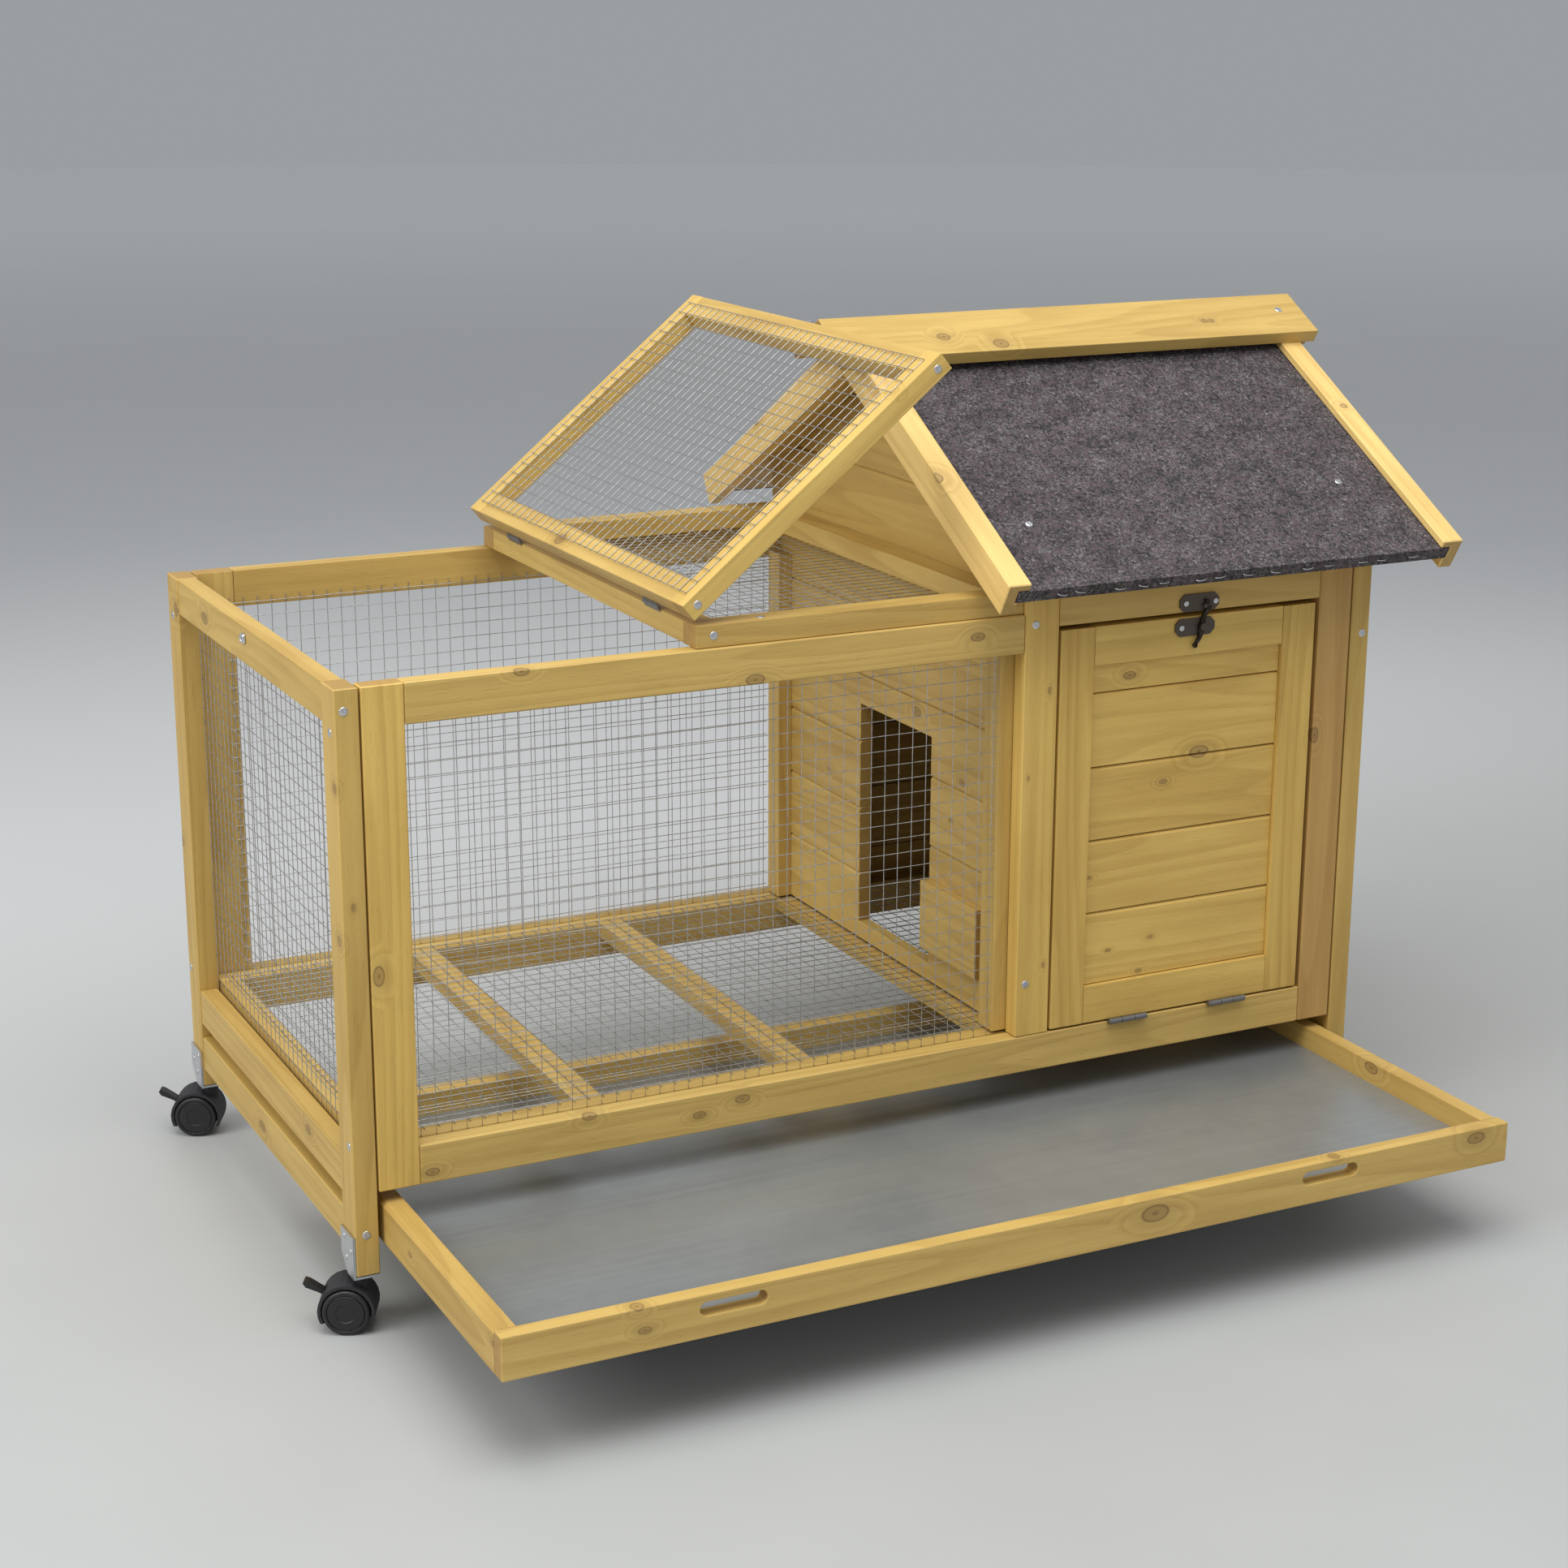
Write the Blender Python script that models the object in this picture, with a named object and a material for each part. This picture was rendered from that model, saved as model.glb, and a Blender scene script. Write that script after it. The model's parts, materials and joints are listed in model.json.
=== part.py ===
"""A small pet coop on casters: wire run, timber house, gabled roof, lid, door and pull-out tray.

Metres, +Z up. X runs from the run (left) to the house (right), -Y is the front.
Pieces are laid out in a bench frame whose zero is the left leg's outer face, the front
face and the foot of the legs. A root empty then carries them to the part's own origin,
which is under the middle of everything, at floor level.
"""
import math

import bmesh
import bpy
from mathutils import Matrix, Vector

# Timber frame
LEG_WIDTH = 0.019
LEG_DEPTH = 0.031
FRAME_HEIGHT = 0.4684
BODY_DEPTH = 0.4714
SHADOW_GAP = 0.0016
PANEL_THICKNESS = 0.0165
PANEL_BOTTOM = 0.0675
END_STILE_WIDTH = 0.0335
HOUSE_STILE_WIDTH = 0.0325
TOP_RAIL_HEIGHT = 0.0322
BOTTOM_RAIL_HEIGHT = 0.0325
RUN_OPENING = 0.5334
DOOR_OPENING = 0.263
HEADER_DROP = 0.0126
HEADER_HEIGHT = 0.0603
EASED_EDGE = 0.0009
FIT_GAP = 0.0003

# Left end rails
END_RAIL_THICKNESS = 0.016
END_RAIL_RECESS = 0.001
END_RAIL_HEIGHT = 0.0318
MID_RAIL_BOTTOM = 0.0599
LOW_RAIL_BOTTOM = 0.0155
RUNNER_WIDTH = 0.012
RUNNER_THICKNESS = 0.0077

# Floor frame
BEARER_THICKNESS = 0.018
SLAT_WIDTH = 0.026
SLAT_THICKNESS = 0.012
RUN_SLAT_BAYS = 3
HOUSE_SLAT_BAYS = 2

# House walls
WALL_THICKNESS = 0.012
WALL_SETBACK = 0.0008
BATTEN_WIDTH = 0.014
BATTEN_DEPTH = 0.0232
BOARD_PITCH = 0.0635
GROOVE_DEPTH = 0.002
DOORWAY_FRONT = 0.155
DOORWAY_WIDTH = 0.133
DOORWAY_BOTTOM = 0.118
DOORWAY_TOP = 0.328
PATCH_LENGTH = 0.098
PATCH_HEIGHT = 0.063
PATCH_THICKNESS = 0.009
PATCH_BOTTOM = 0.135

# Roof
ROOF_PITCH_DEG = 30.0
EAVE_OVERHANG = 0.054
ROOF_OVERHANG_LEFT = 0.0485
ROOF_OVERHANG_RIGHT = 0.053
ROOF_BOARD_THICKNESS = 0.009
FELT_THICKNESS = 0.002
TRIM_DEPTH = 0.030
TRIM_WIDTH = 0.021
TRIM_FLANGE = 0.007
TRIM_WEB = 0.011
TRIM_FOOT = 0.0135
CAP_BOARD_WIDTH = 0.051
CAP_THICKNESS = 0.012
CAP_OVERHANG_LEFT = 0.024
CAP_OVERHANG_RIGHT = 0.015
CAP_END_DEPTH = 0.018
CAP_END_INSET = 0.009

# Fixed top frame and lid
TOP_FRAME_THICKNESS = 0.0182
TOP_RAIL_WIDTH = 0.024
TOP_FRAME_SETBACK = 0.003
LID_FREE_EDGE = 0.001
LID_SIDE_INSET = 0.0015

# Wire nets, drawn as coarse grids: one bar for every four or five wires of the real net
NET_THICKNESS = 0.0016
NET_BAR = 0.0025
NET_PITCH = 0.0572
NET_LAP = 0.008
NET_SIDE_GAP = 0.0015
TOP_NET_LAP = 0.0135

# Door
DOOR_SIDE_GAP = 0.0023
DOOR_LATCH_GAP = 0.0046
DOOR_TOP_GAP = 0.0038
DOOR_BOTTOM_GAP = 0.0019
DOOR_THICKNESS = 0.016
DOOR_STILE_WIDTH = 0.033
DOOR_RAIL_HEIGHT = 0.0335
DOOR_PANEL_RECESS = 0.004
DOOR_PANEL_THICKNESS = 0.009
DOOR_SLAT = 0.0646
DOOR_SLATS = 4
DOOR_HINGE_LENGTH = 0.038
DOOR_HINGE_SPREAD = 0.103
DOOR_KNUCKLE_RADIUS = 0.0028
DOOR_LEAF_THICKNESS = 0.001
DOOR_LEAF_DEPTH = 0.010

# Lid hinges
LID_HINGE_LENGTH = 0.030
LID_HINGE_INSET = 0.085
LID_LEAF_THICKNESS = 0.0009
LID_LEAF_HEIGHT = 0.014
LID_KNUCKLE_RADIUS = 0.0019
LID_PIVOT_RISE = 0.0021
HINGE_PIN_RADIUS = 0.0009

# Door fastener
HASP_WIDTH = 0.0395
HASP_HEIGHT = 0.0150
HASP_THICKNESS = 0.0012
HASP_OFFSET = 0.0065
HASP_CORNER = 0.0045
HASP_LIFT = 0.0005
HASP_SHIFT = 0.0035
HOOK_THICKNESS = 0.0025
HOOK_WIDTH = 0.0038
HOOK_BOSS_RADIUS = 0.0040
PEG_RADIUS = 0.0020
PEG_SHIFT = 0.0046
PEG_RISE = 0.0045
STUD_SHIFT = 0.0060
STUD_HEAD = 0.0010
STUD_HEAD_RADIUS = 0.0031
TAIL_SHIFT = 0.0070
TAIL_DROP = 0.0180

# Lid catch on the left end
CATCH_WIDTH = 0.0090
CATCH_HEIGHT = 0.0085
CATCH_THICKNESS = 0.0030
CATCH_WALL = 0.0014
CATCH_DROP = 0.0100
CATCH_TAB_DROP = 0.0055

# Tray
TRAY_OUT = 0.2522
TRAY_CLEARANCE = 0.0046
TRAY_DEPTH = 0.469
TRAY_HEIGHT = 0.0344
TRAY_SIDE_WIDTH = 0.017
TRAY_FRONT_WIDTH = 0.014
TRAY_SHEET_DROP = 0.020
TRAY_SHEET_THICKNESS = 0.001
TRAY_SHEET_TONGUE = 0.004
SLOT_LENGTH = 0.054
SLOT_HEIGHT = 0.011
SLOT_INSET = 0.180
SLOT_RISE = 0.0225
TRAY_FRONT_RADIUS = 0.002

# Casters
CASTER_HEIGHT = 0.050
CASTER_YAW_DEG = -26.0
CASTER_TRAIL = 0.012
WHEEL_RADIUS = 0.019
WHEEL_WIDTH = 0.0145
WHEEL_RIM = 0.0015
CASTER_WEB = 0.0054
AXLE_RADIUS = 0.003
HOOD_CLEARANCE = 0.001
HOOD_THICKNESS = 0.0025
HOOD_HALF_WIDTH = 0.0155
HOOD_START_DEG = -25.0
HOOD_SWEEP_DEG = 230.0
HOUSING_RADIUS = 0.007
STEM_RADIUS = 0.003
STEM_LENGTH = 0.0105
PLATE_THICKNESS = 0.002
PLATE_HEIGHT = 0.033
PLATE_INSET = 0.0005
PLATE_CORNER = 0.014
BRAKE_ANGLE_DEG = 148.0
BRAKE_WIDTH = 0.009
BRAKE_NECK = 0.003
BRAKE_SLOT = 0.008
BRAKE_REACH = 0.0185
BRAKE_TAB = 0.0035

# Roundness and cutting
ROUND_STEPS = 16
WHEEL_STEPS = 20
OVERRUN = 0.010
SHADE_ANGLE_DEG = 35.0

# Shares: where small things sit along the piece that carries them
BATTEN_TOP_SHARE = 0.93
HINGE_KNUCKLE_SHARES = (0.0, 0.33, 0.67, 1.0)

# Widths worked out from left to right
X_STILE = LEG_WIDTH + SHADOW_GAP
X_RUN = X_STILE + END_STILE_WIDTH
X_HOUSE = X_RUN + RUN_OPENING
X_DOOR = X_HOUSE + HOUSE_STILE_WIDTH
X_RIGHT_STILE = X_DOOR + DOOR_OPENING
X_RIGHT_LEG = X_RIGHT_STILE + END_STILE_WIDTH + SHADOW_GAP
X_END = X_RIGHT_LEG + LEG_WIDTH

# Depths from front to back
Y_NET = PANEL_THICKNESS + FIT_GAP
Y_BEARER = Y_NET + NET_THICKNESS + FIT_GAP
Y_BACK_LEG = BODY_DEPTH - LEG_DEPTH
Y_BACK_PANEL = BODY_DEPTH - PANEL_THICKNESS
Y_BACK_NET = Y_BACK_PANEL - FIT_GAP - NET_THICKNESS
Y_BACK_BEARER = Y_BACK_NET - FIT_GAP - BEARER_THICKNESS
RIDGE_Y = BODY_DEPTH / 2

# Heights
HEADER_BOTTOM = FRAME_HEIGHT - HEADER_DROP
Z_FLOOR_TOP = PANEL_BOTTOM + BOTTOM_RAIL_HEIGHT
Z_FLOOR_NET = Z_FLOOR_TOP + FIT_GAP
Z_WALL = Z_FLOOR_NET + NET_THICKNESS + FIT_GAP
Z_TOP_RAIL = FRAME_HEIGHT - TOP_RAIL_HEIGHT
Z_TRAY = LOW_RAIL_BOTTOM + RUNNER_THICKNESS + FIT_GAP
Z_TOP_FRAME = FRAME_HEIGHT + FIT_GAP
Z_TOP_FACE = Z_TOP_FRAME + TOP_FRAME_THICKNESS
Z_LID = FRAME_HEIGHT + NET_THICKNESS + 2 * FIT_GAP

# Roof layers, measured square to the slope from the top of the verge trim
PITCH = math.radians(ROOF_PITCH_DEG)
FELT_TOP = TRIM_FLANGE + FIT_GAP
FELT_UNDER = FELT_TOP + FELT_THICKNESS
BOARD_TOP = FELT_UNDER + FIT_GAP
BOARD_UNDER = BOARD_TOP + ROOF_BOARD_THICKNESS
FOOT_TOP = BOARD_UNDER + FIT_GAP
SLOPE_LENGTH = (RIDGE_Y + EAVE_OVERHANG) / math.cos(PITCH)
X_ROOF_LEFT = X_HOUSE - ROOF_OVERHANG_LEFT
X_ROOF_RIGHT = X_END + ROOF_OVERHANG_RIGHT
WALL_TOP = HEADER_BOTTOM + HEADER_HEIGHT
RIDGE_HEIGHT = WALL_TOP + FIT_GAP + BOARD_UNDER / math.cos(PITCH) + RIDGE_Y * math.tan(PITCH)
X_CAP_LEFT = X_ROOF_LEFT - CAP_OVERHANG_LEFT
X_CAP_RIGHT = X_ROOF_RIGHT + CAP_OVERHANG_RIGHT

# The run's top is split in the middle, with room for two hinge leaves
LID_GAP = LID_LEAF_THICKNESS * 2 + FIT_GAP * 3
TOP_FRAME_LEFT = (X_HOUSE - LID_GAP) / 2


# Scene and object helpers

def clear_scene():
    """Remove whatever the file holds."""
    for thing in list(bpy.data.objects):
        bpy.data.objects.remove(thing, do_unlink=True)


def make_material(name, colour, roughness, metallic=0.0):
    """A plain Principled material."""
    material = bpy.data.materials.new(name)
    material.use_nodes = True
    shader = material.node_tree.nodes["Principled BSDF"]
    shader.inputs["Base Color"].default_value = (*colour, 1.0)
    shader.inputs["Roughness"].default_value = roughness
    shader.inputs["Metallic"].default_value = metallic
    return material


def make_empty(name, location, parent):
    """An empty whose own place is its parent's child place."""
    empty = bpy.data.objects.new(name, None)
    bpy.context.scene.collection.objects.link(empty)
    empty.empty_display_size = LEG_WIDTH
    empty.parent = parent
    empty.location = location
    return empty


def add_object(name, bm, material):
    """Link a mesh with its origin in the middle of its own box."""
    bmesh.ops.recalc_face_normals(bm, faces=bm.faces)
    low = Vector([min(v.co[i] for v in bm.verts) for i in range(3)])
    high = Vector([max(v.co[i] for v in bm.verts) for i in range(3)])
    centre = (low + high) / 2
    bmesh.ops.translate(bm, verts=bm.verts, vec=-centre)
    mesh = bpy.data.meshes.new(name)
    bm.to_mesh(mesh)
    bm.free()
    obj = bpy.data.objects.new(name, mesh)
    obj.location = centre
    obj.data.materials.append(material)
    bpy.context.scene.collection.objects.link(obj)
    return obj


def prism(name, outline, axis, start, end, material):
    """Extrude an outline in the two other axes from start to end along one axis."""
    order = {"X": (2, 0, 1), "Y": (0, 2, 1), "Z": (0, 1, 2)}[axis]
    bm = bmesh.new()
    rings = []
    for depth in (start, end):
        ring = []
        for point in outline:
            values = (*point, depth)
            ring.append(bm.verts.new([values[i] for i in order]))
        rings.append(ring)
    bm.faces.new(rings[0])
    bm.faces.new(rings[1])
    count = len(outline)
    for i in range(count):
        j = (i + 1) % count
        bm.faces.new((rings[0][i], rings[0][j], rings[1][j], rings[1][i]))
    return add_object(name, bm, material)


def box(name, low, high, material):
    """A square-edged block between two corners."""
    outline = [(low[0], low[1]), (high[0], low[1]), (high[0], high[1]), (low[0], high[1])]
    return prism(name, outline, "Z", low[2], high[2], material)


def cylinder(name, centre, axis, radius, start, end, material, steps=ROUND_STEPS):
    """A round bar along X, Y or Z; centre gives the two other coordinates."""
    outline = []
    for i in range(steps):
        angle = 2 * math.pi * (i + 0.5) / steps
        outline.append((centre[0] + radius * math.cos(angle), centre[1] + radius * math.sin(angle)))
    return prism(name, outline, axis, start, end, material)


def bake(obj):
    """Keep the object's evaluated shape as its plain mesh."""
    graph = bpy.context.evaluated_depsgraph_get()
    graph.update()
    old = obj.data
    obj.data = bpy.data.meshes.new_from_object(obj.evaluated_get(graph))
    obj.data.name = obj.name
    obj.modifiers.clear()
    bpy.data.meshes.remove(old)
    return obj


def combine(obj, others, operation):
    """Join or cut an object with others, which are used up."""
    for other in others:
        step = obj.modifiers.new(operation.lower(), "BOOLEAN")
        step.operation = operation
        step.object = other
        step.solver = "EXACT"
    bpy.context.view_layer.update()
    bake(obj)
    for other in others:
        bpy.data.objects.remove(other, do_unlink=True)
    return obj


def join(obj, *others):
    """Weld other solids onto an object."""
    return combine(obj, others, "UNION")


def cut(obj, *others):
    """Take other solids out of an object."""
    return combine(obj, others, "DIFFERENCE")


def ease(obj, width=EASED_EDGE):
    """Take the sharp outer edges off, as sanding does."""
    bm = bmesh.new()
    bm.from_mesh(obj.data)
    limit = math.radians(SHADE_ANGLE_DEG)
    edges = [edge for edge in bm.edges if edge.is_convex and edge.calc_face_angle() > limit]
    bmesh.ops.bevel(bm, geom=edges, offset=width, offset_type="OFFSET", segments=1, affect="EDGES", clamp_overlap=True)
    bm.to_mesh(obj.data)
    bm.free()
    return obj


def round_shade(obj):
    """Shade round sides smooth and keep real edges sharp."""
    obj.data.shade_smooth()
    obj.data.set_sharp_from_angle(angle=math.radians(SHADE_ANGLE_DEG))
    return obj


def board(name, low, high, material):
    """A planed board with eased edges."""
    return ease(box(name, low, high, material))


def carry(obj, parent, home):
    """Hang an object on an empty; home is the empty's place when everything is shut."""
    obj.parent = parent
    obj.location = obj.location - home
    return obj


def frame_ring(name, low, high, border_x, border_front, border_back, material):
    """A four-sided flat frame lying in X and Y, with one opening."""
    ring = box(name, low, high, material)
    hole = box(
        "hole",
        (low[0] + border_x, low[1] + border_front, low[2] - OVERRUN),
        (high[0] - border_x, high[1] - border_back, high[2] + OVERRUN),
        material,
    )
    return ease(cut(ring, hole))


# Roof geometry

def slope_point(along, depth, side):
    """Y and Z of a point on a slope; side is 1 at the front and -1 at the back."""
    run = along * math.cos(PITCH) - depth * math.sin(PITCH)
    return (RIDGE_Y - side * run, RIDGE_HEIGHT - along * math.sin(PITCH) - depth * math.cos(PITCH))


def ridge_point(depth):
    """Y and Z where a layer meets the plumb line under the ridge."""
    return (RIDGE_Y, RIDGE_HEIGHT - depth / math.cos(PITCH))


def under_roof(y):
    """Height just under the roof boards at a depth y."""
    drop = abs(y - RIDGE_Y) * math.tan(PITCH)
    return RIDGE_HEIGHT - drop - BOARD_UNDER / math.cos(PITCH) - FIT_GAP


def sloped_top(name, x_span, y_span, bottom, material):
    """An upright piece whose top follows the underside of one slope."""
    front, back = y_span
    outline = [(front, bottom), (back, bottom), (back, under_roof(back)), (front, under_roof(front))]
    return prism(name, outline, "X", x_span[0], x_span[1], material)


# Timber frame pieces

def make_legs(wood, root):
    """Four corner legs: short at the run, up to the roof at the house."""
    far = ((0, LEG_DEPTH), (Y_BACK_LEG, BODY_DEPTH))
    for place, span in zip(("front", "back"), far):
        low = (0, span[0], 0)
        high = (LEG_WIDTH, span[1], FRAME_HEIGHT)
        carry(board(f"leg_{place}_left", low, high, wood), root, Vector())
        tall = sloped_top(f"leg_{place}_right", (X_RIGHT_LEG, X_END), span, 0, wood)
        carry(ease(tall), root, Vector())


def make_end_rails(wood, root):
    """Three rails between the left legs; the lowest carries the tray on a runner."""
    front = LEG_DEPTH + FIT_GAP
    back = Y_BACK_LEG - FIT_GAP
    near = END_RAIL_RECESS
    far = END_RAIL_RECESS + END_RAIL_THICKNESS
    heights = (("left_end_top_rail", FRAME_HEIGHT - END_RAIL_HEIGHT), ("left_end_mid_rail", MID_RAIL_BOTTOM))
    for name, bottom in heights:
        low = (near, front, bottom)
        high = (far, back, bottom + END_RAIL_HEIGHT)
        carry(board(name, low, high, wood), root, Vector())
    top = LOW_RAIL_BOTTOM + END_RAIL_HEIGHT
    lip = LOW_RAIL_BOTTOM + RUNNER_THICKNESS
    outline = [
        (near, LOW_RAIL_BOTTOM),
        (far + RUNNER_WIDTH, LOW_RAIL_BOTTOM),
        (far + RUNNER_WIDTH, lip),
        (far, lip),
        (far, top),
        (near, top),
    ]
    low_rail = prism("left_end_low_rail", outline, "Y", front, back, wood)
    carry(ease(low_rail), root, Vector())


def make_front_panel(wood, root):
    """Stiles, rails and door header of the front face."""
    thick = PANEL_THICKNESS
    rail_start = X_RUN + FIT_GAP
    pieces = (
        ("front_left_stile", (X_STILE, X_RUN), (PANEL_BOTTOM, FRAME_HEIGHT)),
        ("front_top_rail", (rail_start, X_HOUSE - FIT_GAP), (Z_TOP_RAIL, FRAME_HEIGHT)),
        ("front_bottom_rail", (rail_start, X_RIGHT_STILE - FIT_GAP), (PANEL_BOTTOM, Z_FLOOR_TOP)),
    )
    for name, across, upright in pieces:
        low = (across[0], 0, upright[0])
        high = (across[1], thick, upright[1])
        carry(board(name, low, high, wood), root, Vector())
    posts = (
        ("front_house_stile", (X_HOUSE, X_DOOR), Z_FLOOR_TOP + FIT_GAP),
        ("door_header", (X_DOOR + FIT_GAP, X_RIGHT_STILE - FIT_GAP), HEADER_BOTTOM),
        ("front_right_stile", (X_RIGHT_STILE, X_RIGHT_STILE + END_STILE_WIDTH), PANEL_BOTTOM),
    )
    for name, across, bottom in posts:
        carry(ease(sloped_top(name, across, (0, thick), bottom, wood)), root, Vector())


def grooves(axis, plane, inward, span, heights, material):
    """V cutters along a wall, one at each board joint; inward is the side the wood is on."""
    mouth = plane - inward * GROOVE_DEPTH
    cutters = []
    for i, height in enumerate(heights):
        outline = [
            (mouth, height - GROOVE_DEPTH * 2),
            (plane + inward * GROOVE_DEPTH, height),
            (mouth, height + GROOVE_DEPTH * 2),
        ]
        cutters.append(prism(f"groove {i}", outline, axis, span[0], span[1], material))
    return cutters


def joint_heights(bottom, top, pitch):
    """Heights of the joints between boards stacked from the bottom."""
    count = int((top - bottom) / pitch)
    return [bottom + pitch * (i + 1) for i in range(count) if bottom + pitch * (i + 1) < top - GROOVE_DEPTH * 3]


def gable_outline(front, back, bottom):
    """Outline in Y and Z of a wall that fills the gable."""
    return [
        (front, bottom),
        (back, bottom),
        (back, under_roof(back)),
        (RIDGE_Y, under_roof(RIDGE_Y)),
        (front, under_roof(front)),
    ]


def make_left_wall(wood, root):
    """The wall between run and house, with its doorway, battens and a stop board."""
    face = X_HOUSE + WALL_SETBACK
    front = Y_NET
    back = Y_BACK_PANEL - FIT_GAP
    wall = prism("house_left_wall", gable_outline(front, back, Z_WALL), "X", face, face + WALL_THICKNESS, wood)
    batten_top = Z_WALL + (FRAME_HEIGHT - Z_WALL) * BATTEN_TOP_SHARE
    seat = face + WALL_THICKNESS / 2
    battens = [
        box("batten", (face - BATTEN_WIDTH, front, Z_WALL), (seat, front + BATTEN_DEPTH, batten_top), wood),
        box(
            "batten",
            (face - BATTEN_WIDTH, Y_BACK_NET - FIT_GAP - BATTEN_DEPTH, Z_WALL),
            (seat, Y_BACK_NET - FIT_GAP, batten_top),
            wood,
        ),
    ]
    stop = box(
        "stop",
        (face - PATCH_THICKNESS, DOORWAY_FRONT - PATCH_LENGTH, PATCH_BOTTOM),
        (seat, DOORWAY_FRONT, PATCH_BOTTOM + PATCH_HEIGHT),
        wood,
    )
    doorway = box(
        "doorway",
        (face - OVERRUN, DOORWAY_FRONT, DOORWAY_BOTTOM),
        (face + WALL_THICKNESS + OVERRUN, DOORWAY_FRONT + DOORWAY_WIDTH, DOORWAY_TOP),
        wood,
    )
    heights = joint_heights(Z_WALL, under_roof(RIDGE_Y), BOARD_PITCH)
    cut(wall, *grooves("Y", face, 1, (front - OVERRUN, back + OVERRUN), heights, wood))
    join(wall, *battens, stop)
    cut(wall, doorway)
    carry(wall, root, Vector())


def make_right_wall(wood, root):
    """The boarded right end between the legs, with the right-hand tray runner."""
    face = X_END - END_RAIL_RECESS
    inner = face - WALL_THICKNESS
    front = LEG_DEPTH + FIT_GAP
    back = Y_BACK_LEG - FIT_GAP
    outline = gable_outline(front, back, LOW_RAIL_BOTTOM)
    wall = prism("house_right_wall", outline, "X", inner, face, wood)
    runner = box(
        "runner",
        (X_END - END_RAIL_RECESS - END_RAIL_THICKNESS - RUNNER_WIDTH, front, LOW_RAIL_BOTTOM),
        (inner + WALL_THICKNESS / 2, back, LOW_RAIL_BOTTOM + RUNNER_THICKNESS),
        wood,
    )
    heights = joint_heights(PANEL_BOTTOM, under_roof(RIDGE_Y), BOARD_PITCH)
    join(wall, runner)
    span = (front - OVERRUN, back + OVERRUN)
    cut(wall, *grooves("Y", face, -1, span, [PANEL_BOTTOM, *heights], wood))
    carry(wall, root, Vector())


def make_back_panel(wood, root):
    """Back face: an open frame behind the run and boards behind the house."""
    front = Y_BACK_PANEL
    back = BODY_DEPTH
    run = box("back_panel", (X_STILE, front, PANEL_BOTTOM), (X_HOUSE + END_STILE_WIDTH, back, FRAME_HEIGHT), wood)
    opening = box(
        "opening",
        (X_RUN, front - OVERRUN, Z_FLOOR_TOP),
        (X_HOUSE, back + OVERRUN, Z_TOP_RAIL),
        wood,
    )
    house = sloped_top("house", (X_HOUSE, X_RIGHT_STILE + END_STILE_WIDTH), (front, back), PANEL_BOTTOM, wood)
    heights = joint_heights(PANEL_BOTTOM, under_roof(back), BOARD_PITCH)
    cut(run, opening)
    join(run, house)
    cut(run, *grooves("X", back, -1, (X_DOOR, X_RIGHT_STILE), heights, wood))
    carry(run, root, Vector())


def make_floor_frame(wood, root):
    """Bearers all round under the net floor, with cross slats in run and house."""
    left = LEG_WIDTH + FIT_GAP
    right = X_RIGHT_LEG - FIT_GAP
    floor = box("floor_frame", (left, Y_BEARER, PANEL_BOTTOM), (right, Y_BACK_NET - FIT_GAP, Z_FLOOR_TOP), wood)
    inside = box(
        "inside",
        (left + BEARER_THICKNESS, Y_BEARER + BEARER_THICKNESS, PANEL_BOTTOM - OVERRUN),
        (right - BEARER_THICKNESS, Y_BACK_BEARER, Z_FLOOR_TOP + OVERRUN),
        wood,
    )
    cut(floor, inside)
    run_step = (X_HOUSE - left) / RUN_SLAT_BAYS
    house_step = (right - X_HOUSE) / HOUSE_SLAT_BAYS
    places = [left + run_step * (i + 1) for i in range(RUN_SLAT_BAYS)]
    places += [X_HOUSE + house_step * (i + 1) for i in range(HOUSE_SLAT_BAYS - 1)]
    seat = BEARER_THICKNESS / 2
    slats = []
    for i, place in enumerate(places):
        low = (place - SLAT_WIDTH / 2, Y_BEARER + seat, Z_FLOOR_TOP - SLAT_THICKNESS)
        high = (place + SLAT_WIDTH / 2, Y_BACK_BEARER + seat, Z_FLOOR_TOP)
        slats.append(box(f"slat {i}", low, high, wood))
    join(floor, *slats)
    carry(floor, root, Vector())


# Wire nets

def net_stops(low, high):
    """Edges of the bars and gaps across one direction of a net."""
    gaps = max(1, round((high - low - NET_BAR) / NET_PITCH))
    pitch = (high - low - NET_BAR) / gaps
    stops = []
    for i in range(gaps + 1):
        stops += [low + pitch * i, low + pitch * i + NET_BAR]
    return stops


def net(name, axis, across, upright, near, material):
    """A flat grid plate with square gaps, standing or lying square to one axis."""
    order = {"X": (2, 0, 1), "Y": (0, 2, 1), "Z": (0, 1, 2)}[axis]
    columns = net_stops(*across)
    rows = net_stops(*upright)
    bm = bmesh.new()
    grid = {}
    for layer, depth in enumerate((near, near + NET_THICKNESS)):
        for i, a in enumerate(columns):
            for j, b in enumerate(rows):
                values = (a, b, depth)
                grid[layer, i, j] = bm.verts.new([values[k] for k in order])

    def solid(i, j):
        """True where a bar fills the cell between two stops."""
        inside = 0 <= i < len(columns) - 1 and 0 <= j < len(rows) - 1
        return inside and (i % 2 == 0 or j % 2 == 0)

    for i in range(len(columns) - 1):
        for j in range(len(rows) - 1):
            if not solid(i, j):
                continue
            corners = ((i, j), (i + 1, j), (i + 1, j + 1), (i, j + 1))
            for layer in (0, 1):
                bm.faces.new([grid[layer, *corner] for corner in corners])
            sides = (((i, j - 1), 0, 1), ((i + 1, j), 1, 2), ((i, j + 1), 2, 3), ((i - 1, j), 3, 0))
            for neighbour, a, b in sides:
                if not solid(*neighbour):
                    wall = (grid[0, *corners[a]], grid[0, *corners[b]], grid[1, *corners[b]], grid[1, *corners[a]])
                    bm.faces.new(wall)
    return add_object(name, bm, material)


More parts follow.
